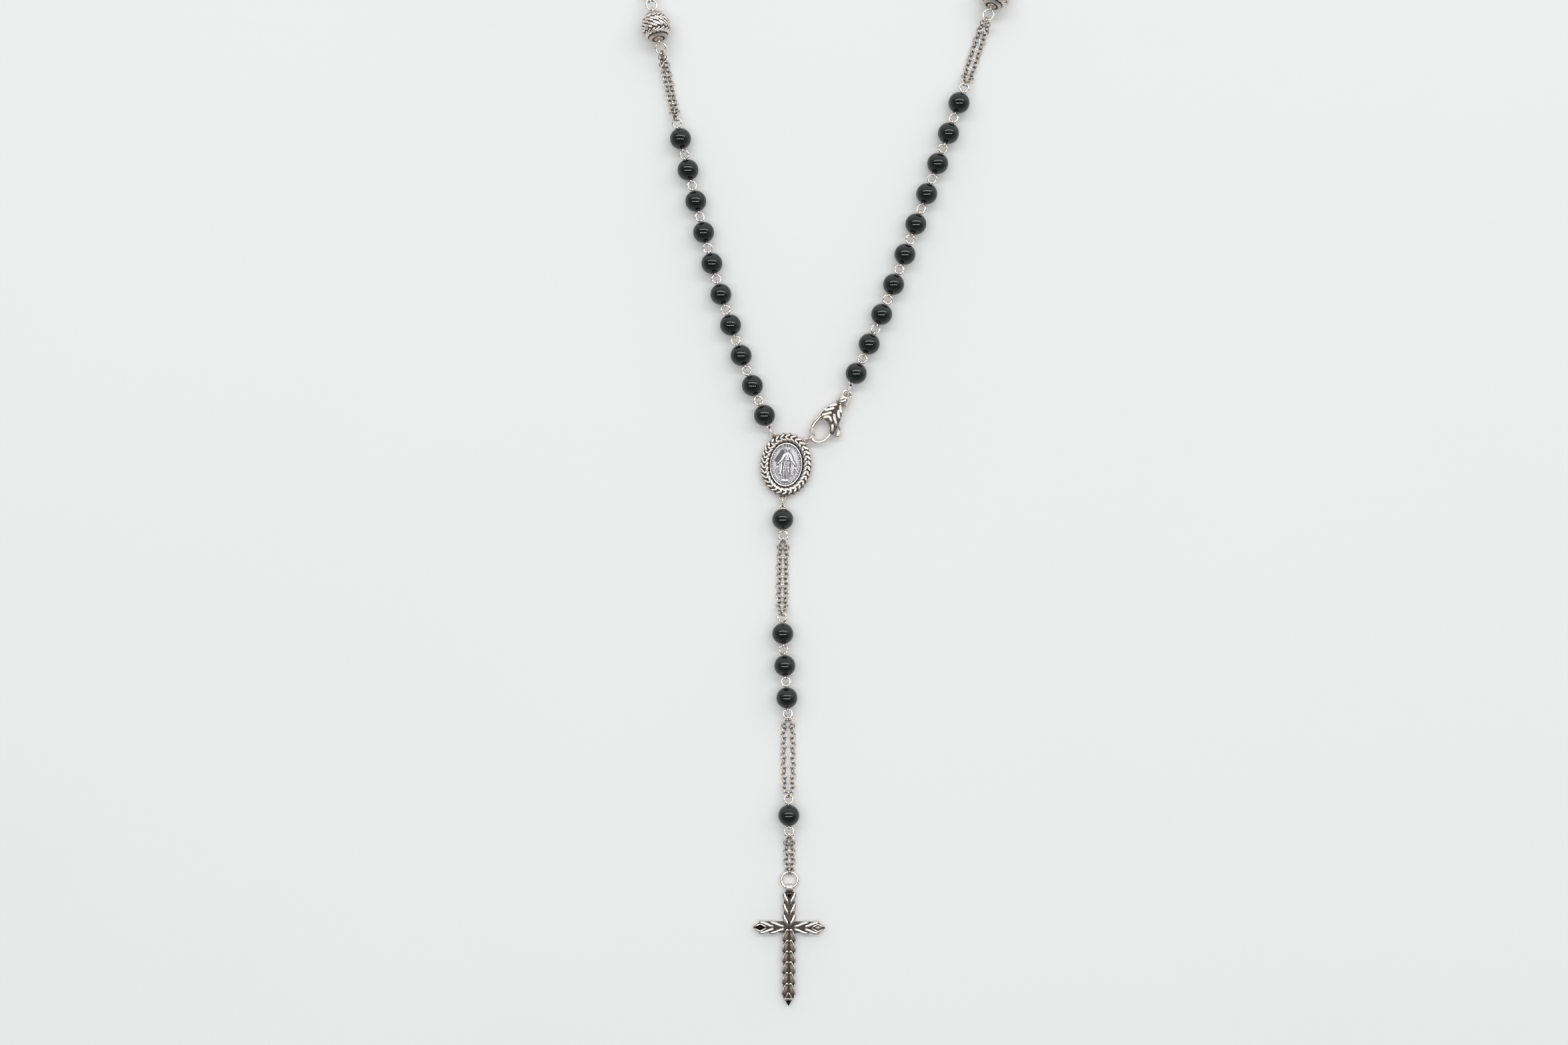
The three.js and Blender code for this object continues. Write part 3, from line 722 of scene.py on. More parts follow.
@dataclass
class BeadWork:
    """Beads on eye pins, with the jump rings that hang them."""

    bench: Bench
    radius: float = 3.0
    reach: float = 3.305
    pitch: float = 9.05
    height: float = 3.05
    bore: float = 0.42
    dish: float = 0.82
    dish_depth: float = 0.42
    ring_radius: float = 1.23
    ring_wire: float = 0.285
    eye_radius: float = 0.60
    eye_wire: float = 0.2
    upright_radius: float = 1.38
    upright_centre: Point = (1.05, 0.0, 2.65)
    first_centre: float = 6.0
    tilt_limit: float = 26.0
    chance: random.Random = field(default_factory=lambda: random.Random(5))

    def stone(self, work: Workpiece, centre: float) -> None:
        """Turns a drilled bead with dished mouths, its bore along the strand."""
        lip = math.acos(self.dish / self.radius)
        arc = []
        for step in range(29):
            angle = -lip + 2 * lip * step / 28
            arc.append((self.radius * math.sin(angle), self.radius * math.cos(angle)))
        floor = arc[-1][0] - self.dish_depth
        mouth = [(arc[-1][0] - 0.05, self.dish - 0.1), (floor, self.bore)]
        profile = [*arc, *mouth, *[(-x, r) for x, r in reversed(mouth)]]
        place = shift(centre, 0, self.height)
        work.turned(profile, 44, place, closed=True)

    def eye(self, work: Workpiece, along: float, tilt: float) -> None:
        """Bends the loop at one end of a bead's pin, near upright."""
        turn = Matrix.Rotation(math.radians(tilt), 4, "X") @ UPRIGHT
        place = shift(along, 0, self.height) @ turn
        work.ring(self.eye_radius, self.eye_wire, place, steps=20, sides=8)

    def pin(self, work: Workpiece, centre: float, tilts: tuple[float, float],
            open_start: bool = False) -> None:
        """Makes the wire through a bead with an eye at each end."""
        place = shift(centre, 0, self.height)
        half = self.radius - 0.15
        work.turned([(-half, 0), (-half, self.eye_wire), (half, self.eye_wire), (half, 0)],
                    10, place)
        self.eye(work, centre - self.reach, 90 if open_start else tilts[0])
        self.eye(work, centre + self.reach, tilts[1])

    def jump_ring(self, work: Workpiece, along: float, tilt: float) -> None:
        """Lays a jump ring, centred a distance along the strand and rolled by a tilt."""
        roll = Matrix.Rotation(math.radians(tilt), 4, "X")
        seam = Matrix.Rotation(self.chance.uniform(0.8, 5.4), 4, "Z")
        place = shift(along, 0, self.height) @ roll @ seam
        work.ring(self.ring_radius, self.ring_wire, place, seam=math.radians(5))

    def upright_ring(self, work: Workpiece) -> None:
        """Stands up the ring that holds a strand's first bead."""
        place = Matrix.Translation(self.upright_centre) @ UPRIGHT @ Matrix.Rotation(0.6, 4, "Z")
        work.ring(self.upright_radius, self.ring_wire, place, seam=math.radians(4))

    def link(self, body: str, beads: int = 1, first: bool = False, chained: bool = False) -> None:
        """Makes a link of one bead or several.

        Args:
            body: The link's body.
            beads: How many beads it has.
            first: Whether it hangs from an upright ring.
            chained: Whether it ends in a ring that chain follows.
        """
        stones, findings = Workpiece(), Workpiece()
        tilt = self.chance.uniform(-self.tilt_limit, self.tilt_limit)
        if first:
            self.upright_ring(findings)
        for index in range(beads):
            centre = self.first_centre if first else (index + 1) * self.pitch - self.reach
            if not first:
                self.jump_ring(findings, index * self.pitch + self.ring_radius - 0.05, tilt)
            self.stone(stones, centre)
            self.pin(findings, centre, (tilt * 0.5, -tilt * 0.6), first)
            tilt = self.chance.uniform(-self.tilt_limit, self.tilt_limit)
        if chained:
            end = centre + self.reach + self.ring_radius - 0.05
            self.jump_ring(findings, end, tilt * 0.4)
        seat = self.bench.seat(body)
        self.bench.finish(stones, f"stone_{body}", body, seat, Finish.ONYX)
        # The findings carry painted shade where they run into each bead.
        self.bench.finish(findings, f"findings_{body}", body, seat, Finish.POLISHED,
                          self.wear_and_shade(centre))

    def wear_and_shade(self, centre: float) -> Callable[[Vector], float]:
        """Returns how black the findings are: painted shade where they run into a bead's mouth."""
        def tarnish(point: Vector) -> float:
            """Gives the painted shade at a point."""
            from_bead = abs((point.x - centre + self.pitch / 2) % self.pitch - self.pitch / 2)
            return 0.75 * (1 - smoothstep(self.radius - 0.5, self.radius + 0.05, from_bead))
        return tarnish


@dataclass
class ChainWork:
    """Double runs of small round links."""

    bench: Bench
    link_radius: float = 0.865
    wire: float = 0.172
    pitch: float = 1.39
    inset: float = 0.14
    lateral: float = 0.84
    rest_height: float = 0.8
    settle: float = 2.2
    rolls: tuple[float, float] = (-26.0, 60.0)
    chance: random.Random = field(default_factory=lambda: random.Random(11))

    def strand(self, work: Workpiece, template: bpy.types.Mesh, run: tuple[float, float, float],
               side: int, spread: float, closeness: float) -> list[Vector]:
        """Lays one strand of links beside the middle line.

        Args:
            work: The mesh to add to.
            template: One link.
            run: The run's length and its heights at both ends.
            side: -1 or 1.
            spread: How far the strand bows out in the middle of the run.
            closeness: The share of its way that it lies off the middle line.

        Returns:
            The middles of its links.
        """
        length, start, end = run

        def path(share: float) -> Vector:
            """Gives the strand's middle at a share of its length."""
            along = self.inset + share * (length - 2 * self.inset)
            bow = math.sin(math.pi * along / length) ** 0.5
            near = (start - self.rest_height) * math.exp(-((along / self.settle) ** 2))
            far = (end - self.rest_height) * math.exp(-(((length - along) / self.settle) ** 2))
            pinch = 0.34 * (1 - smoothstep(0, 2.4, min(along, length - along)))
            across = side * (self.lateral * closeness - pinch + spread * bow)
            over = (1 - closeness) * (1 + side)
            return Vector((along, across, self.rest_height + near + far + over))

        arc = sum((path((i + 1) / 60) - path(i / 60)).length for i in range(60))
        count = round(arc / self.pitch) + 1
        middles = []
        for index, (point, along) in enumerate(walk(path, count, closed=False)):
            lean = self.rolls[index % 2] * side + self.chance.uniform(-9, 9)
            place = basis(point, along, UP)
            place = place @ Matrix.Rotation(math.radians(lean), 4, "X")
            work.stamp(template, place)
            middles.append(point)
        return middles

    def link(self, body: str, spread: float, closeness: float = 1.0) -> None:
        """Makes a double run of chain.

        Args:
            body: The run's body.
            spread: How far the strands bow apart.
            closeness: 1 where they lie side by side, less where one lies over the other.
        """
        single = Workpiece()
        single.ring(self.link_radius, self.wire, steps=16, sides=5)
        template = single.template()
        work = Workpiece()
        middles = []
        for side in (-1, 1):
            middles += self.strand(work, template, self.bench.run(body), side, spread, closeness)
        bpy.data.meshes.remove(template)

        def tarnish(point: Vector) -> float:
            """Gives painted shade, black where a link meets the next and on its inner side, over a
            light even oxide, so brighter at its sides.
            """
            from_middle = min((point - middle).length for middle in middles)
            return 0.12 + 0.78 * (1 - smoothstep(0.56, 0.80, from_middle))

        # The chain's colour carries painted shade where its links meet.
        self.bench.finish(work, f"links_{body}", body, self.bench.seat(body), Finish.CHAIN,
                          tarnish)


@dataclass
class BallWork:
    """Large balls braided in low relief, with plain caps and a ring at each end."""

    bench: Bench
    radius: float = 4.3
    centre: float = 7.72
    height: float = 4.4
    core: float = 3.93
    bars_round: int = 16
    slant: float = 32.0
    bar: Bar = Bar(2.95, 0.86, 0.74)
    pitch: float = 12.0
    ring_radius: float = 1.5
    ring_wire: float = 0.3
    gap: float = 0.42
    eye_radius: float = 0.78
    eye_wire: float = 0.3

    def braid(self, work: Workpiece) -> None:
        """Wraps four rows of slanted bars round the ball, so that pairs of rows make V's."""
        template = self.bar.template()
        for row, (polar, lean) in enumerate([(53, 1), (78, -1), (102, -1), (127, 1)]):
            theta = math.radians(polar)
            size = 0.35 + 0.65 * math.sin(theta)
            for index in range(self.bars_round):
                phi = math.tau * (index + 0.5 * (row % 2)) / self.bars_round
                out = Vector((-math.cos(theta), math.sin(theta) * math.cos(phi),
                              math.sin(theta) * math.sin(phi)))
                around = Vector((0, -math.sin(phi), math.cos(phi)))
                down = out.cross(around)
                angle = math.radians(self.slant) * lean
                along = around * math.cos(angle) + down * math.sin(angle)
                self.wrap(work, template, out, along, size)
        bpy.data.meshes.remove(template)

    def wrap(self, work: Workpiece, template: bpy.types.Mesh, out: Vector, along: Vector,
             size: float) -> None:
        """Adds one bar, bent to the ball.

        Args:
            work: The mesh to add to.
            template: A straight bar.
            out: The direction from the ball's centre to the bar's middle.
            along: The bar's own direction there.
            size: Its share of full size.
        """
        across = out.cross(along)
        middle = Vector((self.centre, 0, self.height))
        bent = template.copy()
        for vertex in bent.vertices:
            x, y, z = vertex.co * size
            turn = x / self.core
            reach = out * math.cos(turn) + along * math.sin(turn)
            vertex.co = middle + reach * (self.core + z) + across * y
        work.add(bent)

    def cap(self, work: Workpiece, side: int) -> None:
        """Turns the stepped cap at one end of the ball."""
        profile = [(3.1, 0), (3.1, 2.56), (3.3, 2.64), (3.52, 2.5), (3.84, 2.0), (3.86, 1.66),
                   (3.7, 1.56), (3.7, 1.3), (3.98, 1.2), (4.24, 1.0), (4.3, 0.7), (4.2, 0)]
        flip = Matrix.Rotation(0 if side > 0 else math.pi, 4, "Z")
        work.turned(profile, 40, shift(self.centre, 0, self.height) @ flip)

    def link(self, body: str) -> None:
        """Makes a ball with its caps, eyes and rings."""
        seat = self.bench.seat(body)
        shell, loops = Workpiece(), Workpiece()
        middle = shift(self.centre, 0, self.height)
        bmesh.ops.create_uvsphere(shell.bm, u_segments=48, v_segments=24, radius=self.core,
                                  matrix=middle)
        self.braid(shell)
        for side in (-1, 1):
            self.cap(shell, side)
            eye = self.centre + side * (self.radius + self.gap - 0.28)
            loops.ring(self.eye_radius, self.eye_wire, shift(eye, 0, self.height)
                       @ UPRIGHT, steps=24)
            ring = self.centre + side * (self.radius + self.gap + self.ring_radius)
            loops.ring(self.ring_radius, self.ring_wire, Matrix.Translation(
                (ring, 0, self.height)) @ Matrix.Rotation(0.3 * side, 4, "X"),
                steps=40, sides=12, seam=math.radians(4))
        middle_point = Vector((self.centre, 0, self.height))
        nod = Matrix.Rotation(math.radians(self.pitch), 4, "Y")
        about = Matrix.Translation(middle_point) @ nod @ Matrix.Translation(-middle_point)
        bmesh.ops.transform(shell.bm, matrix=about, verts=shell.bm.verts)
        self.bench.finish(shell, f"braided_{body}", body, seat, Finish.OXIDISED,
                          lambda point: self.wear_and_shade(about.inverted() @ point))
        self.bench.finish(loops, f"loops_{body}", body, seat, Finish.POLISHED,
                          lambda point: 0.05)

    def wear_and_shade(self, point: Vector) -> float:
        """Returns how black the ball is: bright on the bars' tops, black between them."""
        offset = point - Vector((self.centre, 0, self.height))
        if abs(offset.x) > 3.15 and offset.yz.length < 2.8:
            return 0.3 if offset.yz.length > 1.75 or offset.yz.length < 1.25 else 0.95
        return 1 - smoothstep(self.core + 0.05, self.core + 0.24, offset.length)


# Medal.


@dataclass(frozen=True)
class Stroke:
    """One mark of the relief: a tapered bar with round ends and a domed top."""

    start: tuple[float, float]
    end: tuple[float, float]
    start_radius: float
    end_radius: float
    height: float

    def lift(self, x: np.ndarray, y: np.ndarray) -> np.ndarray:
        """Returns the mark's height over each point."""
        run = np.array(self.end) - np.array(self.start)
        reach = float(run @ run) or 1.0
        share = ((x - self.start[0]) * run[0] + (y - self.start[1]) * run[1]) / reach
        share = np.clip(share, 0, 1)
        away = np.hypot(x - self.start[0] - share * run[0], y - self.start[1] - share * run[1])
        radius = self.start_radius + (self.end_radius - self.start_radius) * share
        return self.height * np.sqrt(np.clip(1 - (away / radius) ** 2, 0, 1))


@dataclass
class Relief:
    """The standing robed figure struck on the medal, in the medal's own millimetres."""

    middle: float = 0.15

    def mark(self, start_off: float, start_up: float, end_off: float, end_up: float,
             start_radius: float, end_radius: float, height: float) -> Stroke:
        """Returns a stroke whose ends are given off the figure's middle line and up the oval."""
        return Stroke((self.middle + start_off, start_up), (self.middle + end_off, end_up),
                      start_radius, end_radius, height)

    def masses(self) -> list[Stroke]:
        """Returns the rounded masses, of which the highest shows."""
        m = self.middle
        strokes = [
            self.mark(0, 4.15, 0, 3.75, 0.86, 0.95, 0.24),
            self.mark(0, 3.4, -0.1, 1.9, 0.95, 1.25, 0.30),
            self.mark(0, 4.2, 0, 3.92, 0.46, 0.42, 0.56),
            self.mark(0, 3.6, 0, 3.3, 0.26, 0.3, 0.40),
            self.mark(0, 2.75, 0, 1.6, 0.95, 0.74, 0.48),
            self.mark(0, 1.2, 0, -0.6, 0.72, 0.98, 0.44),
            self.mark(0, -0.6, -0.2, -4.0, 0.98, 1.22, 0.40),
            self.mark(-0.45, -4.3, -0.6, -4.55, 0.26, 0.22, 0.32),
            self.mark(0.45, -4.3, 0.6, -4.55, 0.26, 0.22, 0.32),
        ]
        for side in (-1, 1):
            strokes += [
                self.mark(side * 0.85, 2.6, side * 1.5, 1.15, 0.52, 0.46, 0.46),
                self.mark(side * 1.5, 1.15, side * 2.3, 0.3, 0.42, 0.26, 0.42),
                self.mark(side * 2.35, 0.22, side * 2.62, -0.05, 0.22, 0.16, 0.40),
                self.mark(side * 1.25, 1.2, side * 1.75, -2.6, 0.62, 0.34, 0.26),
                self.mark(side * 1.95, 0.4, side * 2.0, -1.7, 0.3, 0.2, 0.22),
            ]
            for ray in range(5):
                turn = math.radians(-90 + side * (26 - 17 * ray))
                tip = (m + side * 2.5 + 2.9 * math.cos(turn), -0.35 + 2.9 * math.sin(turn))
                strokes.append(Stroke((m + side * 2.5, -0.35), tip, 0.05, 0.15, 0.15))
        strokes += [
            self.mark(-1.3, -5.0, 1.3, -5.0, 0.55, 0.55, 0.24),
            self.mark(-0.5, -4.95, 0.5, -4.95, 0.7, 0.7, 0.30),
        ]
        return strokes

    def chasing(self) -> list[Stroke]:
        """Returns the folds and creases cut into the masses, each raised or sunk a little."""
        m = self.middle
        strokes = [
            self.mark(-0.75, 1.42, 0.75, 1.42, 0.11, 0.11, 0.11),
            self.mark(-0.7, 1.12, 0.7, 1.12, 0.10, 0.10, 0.10),
            self.mark(-0.7, 1.27, 0.7, 1.27, 0.06, 0.06, -0.14),
            self.mark(-0.34, 2.7, -0.05, 1.7, 0.09, 0.07, -0.10),
            self.mark(0.34, 2.7, 0.05, 1.7, 0.09, 0.07, -0.10),
            self.mark(0, 4.12, 0, 3.98, 0.055, 0.075, 0.07),
            self.mark(-0.17, 4.1, -0.15, 4.1, 0.10, 0.10, -0.07),
            self.mark(0.15, 4.1, 0.17, 4.1, 0.10, 0.10, -0.07),
            self.mark(-0.08, 3.86, 0.08, 3.86, 0.045, 0.045, -0.06),
            self.mark(-0.55, 4.3, -0.62, 3.3, 0.07, 0.09, -0.16),
            self.mark(0.55, 4.3, 0.62, 3.3, 0.07, 0.09, -0.16),
            self.mark(-1.05, 0.9, -1.02, -3.2, 0.12, 0.16, -0.26),
            self.mark(1.05, 0.9, 1.02, -3.2, 0.12, 0.16, -0.26),
        ]
        for fold, (top, foot) in enumerate([(-0.42, -0.95), (-0.2, -0.45), (0.04, 0.0),
                                            (0.26, 0.5), (0.46, 0.98)]):
            drop = -4.1 + 0.12 * (fold % 2)
            strokes.append(Stroke((m + top, 0.85), (m + foot, drop), 0.08, 0.15, -0.12))
            strokes.append(Stroke((m + top + 0.13, 0.5), (m + foot + 0.24, drop), 0.06, 0.12, 0.07))
        return strokes

    def height(self, x: np.ndarray, y: np.ndarray) -> np.ndarray:
        """Returns the figure's height over the medal's field at each point."""
        base = np.zeros_like(x)
        for stroke in self.masses():
            base = np.maximum(base, stroke.lift(x, y))
        inside = np.clip(base / 0.2, 0, 1)
        for stroke in self.chasing():
            base = base + stroke.lift(x, y) * inside
        return base


@dataclass
class MedalWork:
    """The oval medal in its braided frame."""

    bench: Bench
    tilt: float = -4.5
    outer: tuple[float, float] = (7.4, 8.9)
    inner: tuple[float, float] = (4.75, 6.35)
    plate: float = 0.8
    vees: int = 30
    bar: Bar = Bar(2.08, 0.74, 0.56, 0.55)
    splay: float = 34.0
    lug_radius: float = 0.74
    lug_wire: float = 0.24
    lug_height: float = 1.8
    face: tuple[float, float] = (4.6, 6.2)
    floor: float = 0.95
    field_height: float = 1.62
    grid: tuple[int, int] = (184, 240)
    marks: int = 56
    edge_inset: float = 0.28
    softening: int = 2
    hollow_reach: int = 30
    hollow_contrast: float = 13.0
    base_grey: float = 0.27

    def seat(self) -> Seat:
        """Returns the medal's own frame, tilted on the table."""
        return Seat(Vector(), math.radians(self.tilt))

    def band(self, share: float) -> Callable[[float], Vector]:
        """Returns the oval a share of the way from the band's inner edge to its outer one."""
        a = self.inner[0] + (self.outer[0] - self.inner[0]) * share
        b = self.inner[1] + (self.outer[1] - self.inner[1]) * share
        return lambda turn: Vector((a * math.cos(math.tau * turn), b * math.sin(math.tau * turn), 0))

    def crown(self, share: float) -> float:
        """Returns the height of the band's core a share of the way across it."""
        return 1.72 + 0.42 * (1 - (2 * share - 1) ** 2)

    def core(self, work: Workpiece) -> None:
        """Turns the band on its back plate and stretches it to the oval."""
        width = self.outer[0] - self.inner[0]
        edge = self.outer[0] - self.edge_inset
        profile = [(0.0, 0), (0.0, edge - 0.3), (0.25, edge - 0.04), (1.3, edge)]
        for step in range(9):
            share = 0.87 - 0.84 * step / 8
            profile.append((self.crown(share) - 0.05, self.inner[0] + width * share))
        profile += [(self.plate, self.inner[0] + 0.02), (self.plate, 0)]
        work.turned(profile, 96, Matrix.Rotation(-math.pi / 2, 4, "Y"))
        for vertex in work.bm.verts:
            x, y, z = vertex.co
            radius, turn = math.hypot(x, y), math.atan2(y, x)
            share = (radius - self.inner[0]) / width
            tall = self.inner[1] + (self.outer[1] - self.inner[1]) * share
            if share < 0:
                tall = radius * self.inner[1] / self.inner[0]
            vertex.co = (radius * math.cos(turn), tall * math.sin(turn), z)

    def braid(self, work: Workpiece) -> None:
        """Lays the V's round the band, each pointing the same way round."""
        template = self.bar.template()
        for point, along in walk(self.band(0.5), self.vees, closed=True):
            outward = along.cross(UP)
            for side in (-1, 1):
                angle = math.radians(self.splay)
                lie = along * math.cos(angle) - outward * side * math.sin(angle)
                middle = point - lie * (self.bar.length / 2 - 0.12) + outward * side * 0.06
                middle.z = self.crown(0.5 + side * 0.24) - 0.02
                slope = (UP + outward * side * 0.34).normalized()
                lie = (lie - slope * lie.dot(slope)).normalized()
                work.stamp(template, basis(middle, lie, slope))
        bpy.data.meshes.remove(template)

    def lugs(self, work: Workpiece) -> None:
        """Adds the three loops that the strands and the clasp's ring hang from."""
        back = self.seat().matrix().inverted()
        for body in ("bead_left_01", "bead_pendant_1", "clasp_ring"):
            place = back @ (self.bench.pivots[body] * MM)
            place.z = self.lug_height
            work.ring(self.lug_radius, self.lug_wire, Matrix.Translation(place), steps=28)

    def frame_piece(self) -> None:
        """Makes the braided frame."""
        work = Workpiece()
        self.core(work)
        self.braid(work)
        self.lugs(work)

        def tarnish(point: Vector) -> float:
            """Gives the tarnish: bright on the bars, black between them, grey on the sides."""
            across = math.hypot(point.x / self.outer[0], point.y / self.outer[1])
            if across > 1.03:
                return 0.1
            if point.z < 1.3 and across > 0.9:
                return 0.45
            inner = math.hypot(point.x / self.inner[0], point.y / self.inner[1])
            share = (inner - 1) / (self.outer[0] / self.inner[0] - 1)
            crown = self.crown(min(1.0, max(0.0, share)))
            return 1 - smoothstep(crown - 0.02, crown + 0.16, point.z)

        self.bench.finish(work, "medal_braided_frame", "medal", self.seat(), Finish.OXIDISED,
                          tarnish, ["medal_frame"])

    def rim(self, ratio: np.ndarray, turn: np.ndarray) -> np.ndarray:
        """Returns the height of the medal's edge, its inner line and the marks between them.

        Args:
            ratio: How far out each point is, 1 at the edge.
            turn: Its direction from the middle.
        """
        def hump(centre: float, half: float) -> np.ndarray:
            """Gives a rounded ridge round the oval."""
            return np.sqrt(np.clip(1 - ((ratio - centre) / half) ** 2, 0, 1))

        ridge = 0.34 * hump(0.965, 0.05) + 0.10 * hump(0.795, 0.013)
        beat = np.abs(np.sin(turn * self.marks / 2))
        long_mark = np.floor(turn * self.marks / math.tau) % 3 != 0
        mark = np.where(long_mark, hump(0.865, 0.042), hump(0.865, 0.02))
        return ridge + 0.17 * mark * np.clip((beat - 0.45) * 3, 0, 1)

    def blurred(self, sheet: np.ndarray, passes: int) -> np.ndarray:
        """Returns a sheet of heights with each mixed with its neighbours a number of times."""
        for _ in range(passes):
            sheet = (sheet + np.roll(sheet, 1, 0) + np.roll(sheet, -1, 0)
                     + np.roll(sheet, 1, 1) + np.roll(sheet, -1, 1)) / 5
        return sheet

    def insert_piece(self) -> None:
        """Strikes the medal: a grid drawn to the oval, raised by the relief."""
        work = Workpiece()
        columns, rows = self.grid
        layer = work.bm.verts.layers.float.new(TARNISH_AND_SHADE)
        bmesh.ops.create_grid(work.bm, x_segments=columns, y_segments=rows, size=1.0)
        verts = list(work.bm.verts)
        flat = np.array([v.co for v in verts])
        u = flat[:, 0] * np.sqrt(1 - flat[:, 1] ** 2 / 2)
        v = flat[:, 1] * np.sqrt(1 - flat[:, 0] ** 2 / 2)
        x, y = u * self.face[0], v * self.face[1]
        ratio = np.hypot(u, v)
        relief = Relief().height(x, y) * np.clip((0.8 - ratio) * 25, 0, 1)
        bowl = 0.10 * ratio ** 2
        height = bowl + relief + self.rim(ratio, np.arctan2(v, u))
        sheet = self.blurred(height.reshape(rows + 1, columns + 1), self.softening)
        hollow = (self.blurred(sheet, self.hollow_reach) - sheet) * self.hollow_contrast
        hollow = np.clip(hollow + self.base_grey, 0, 1).reshape(-1)
        height = sheet.reshape(-1)
        smudge = Stroke((-2.8, 1.1), (-1.2, 3.6), 0.8, 0.95, 1.0).lift(x, y) ** 2
        smudge = np.clip(smudge * 1.25, 0, 0.95)
        hollow = np.maximum(hollow, smudge * np.clip(1 - relief * 6, 0, 1))
        for index, vertex in enumerate(verts):
            vertex.co = (x[index], y[index], self.field_height + height[index])
            vertex[layer] = hollow[index]
        border = [e for e in work.bm.edges if e.is_boundary]
        grown = bmesh.ops.extrude_edge_only(work.bm, edges=border)["geom"]
        for vertex in corners_of(grown):
            vertex.co.z = self.floor
        close_holes(work.bm)
        self.bench.finish(work, "medal_struck_oval", "medal", self.seat(), Finish.STRUCK,
                          None, ["medal_insert"])


# Clasp.


@dataclass
class ClaspWork:
    """The lobster clasp: braided head, hook, lever, pin, spring and swivel."""

    bench: Bench
    height: float = 1.85
    offset: float = -1.05
    top: float = 3.05
    base: float = 0.3
    slot: tuple[float, float] = (1.3, 2.4)
    block_start: float = 6.9
    lever_pivot: tuple[float, float] = (4.4, 1.2)
    bar_width: float = 0.94
    bar_height: float = 0.86

    def seat(self) -> Seat:
        """Returns the clasp's own frame, from the swivel's axis."""
        axis = self.bench.axes["clasp_swivel"]
        heading = math.atan2(axis.y, axis.x)
        across = Vector((-axis.y, axis.x, 0))
        return Seat(self.bench.pivots["clasp_swivel"] - across * self.offset, heading)

    def outline(self) -> list[tuple[float, float]]:
        """Returns the head's outline as a smooth line through a few points."""
        return rounded_outline([
            (8.85, -0.3), (8.2, 1.0), (7.1, 1.85), (5.7, 2.45), (4.4, 2.8),
            (3.3, 2.9), (2.85, 2.3), (2.75, 1.35), (3.05, 0.6), (3.0, -0.35),
            (2.2, -1.5), (1.2, -2.1), (0.4, -2.5), (0.1, -3.1), (0.7, -3.6),
            (2.3, -3.72), (4.3, -3.4), (6.5, -2.95), (8.1, -2.2), (8.85, -1.6),
        ])

    def braid(self, work: Workpiece) -> None:
        """Lays the head's bars, which make V's with their points towards the swivel."""
        bars = [
            [(7.1, 1.45), (8.55, -0.15)], [(5.35, 1.95), (7.3, -0.05)],
            [(3.85, 1.95), (5.8, 0.0)], [(3.3, 1.25), (4.15, 0.45), (4.35, -0.2), (3.6, -1.25)],
            [(3.1, -1.8), (2.1, -2.45), (1.0, -2.95)],
            [(5.75, -0.8), (4.5, -1.85), (3.4, -2.95)], [(7.3, -1.15), (5.4, -2.7)],
            [(8.7, -1.05), (7.1, -2.4)],
        ]
        for bar in bars:
            places = curve_through([(x, y, self.crown(x, y)) for x, y in bar],
                                   4 if len(bar) > 2 else 9)
            places = [places[0] * 1.5 - places[1] * 0.5, *places,
                      places[-1] * 1.5 - places[-2] * 0.5]
            stations = rounded_bar(places, self.bar_width, self.bar_height, 0.12)
            work.swept(stations, UP, 12, 0.7)

    def crown(self, x: float, y: float) -> float:
        """Returns the height of the head's top, lower towards its sides and its ends."""
        return self.top - 0.06 * (y + 0.6) ** 2 - 0.014 * (x - 5.5) ** 2

    def head(self) -> None:
        """Makes the head's two cheeks and its solid end, its neck and the hook."""
        work = Workpiece()
        outline = self.outline()
        work.slab(outline, self.slot[1], 2.82, 0.26)
        work.slab(outline, self.base, self.slot[0], 0.25)
        work.slab(outline, self.base + 0.3, 2.5, start=self.block_start)
        work.turned([(8.0, 0), (8.0, 0.98), (8.75, 0.9), (9.1, 0.55), (9.9, 0.5), (9.9, 0)], 24,
                    shift(0, self.offset, self.height))
        hook = []
        for step in range(33):
            share = step / 32
            turn = math.radians(-70 - 188 * share)
            centre = Vector((3.5 * math.cos(turn), 2.62 * math.sin(turn), self.height))
            hook.append(Station(centre, 1.16 - 0.22 * math.sin(math.pi * share),
                                1.9 - 0.5 * share))
        work.swept(hook, UP, 20, 0.8)
        self.bench.finish(work, "clasp_head_and_hook", "clasp", self.seat(),
                          Finish.OXIDISED, lambda point: 0.06, ["clasp_body"])
        dark = Workpiece()
        dark.slab(self.bed(), 2.5, 2.9, 0.1)
        self.bench.finish(dark, "clasp_black_bed", "clasp", self.seat(), Finish.OXIDISED,
                          lambda point: 0.95, ["clasp_body"])
        bars = Workpiece()
        self.braid(bars)
        self.bench.finish(bars, "clasp_braid", "clasp", self.seat(), Finish.OXIDISED,
                          lambda p: 0.9 * (1 - smoothstep(0.0, 0.3, p.z - self.crown(p.x, p.y)
                                                          + 0.05)), ["clasp_body"])

    def bed(self) -> list[tuple[float, float]]:
        """Returns the outline of the blackened bed that the bars lie on."""
        return rounded_outline([
            (8.75, -0.4), (8.2, 0.75), (7.0, 1.6), (5.5, 2.15), (4.2, 2.4),
            (3.4, 2.2), (2.95, 1.4), (3.12, 0.6), (3.05, -0.35), (2.25, -1.5),
            (1.25, -2.15), (0.55, -2.6), (0.4, -3.1), (0.9, -3.5), (2.3, -3.6),
            (4.25, -3.3), (6.4, -2.85), (8.0, -2.1), (8.75, -1.5),
        ])

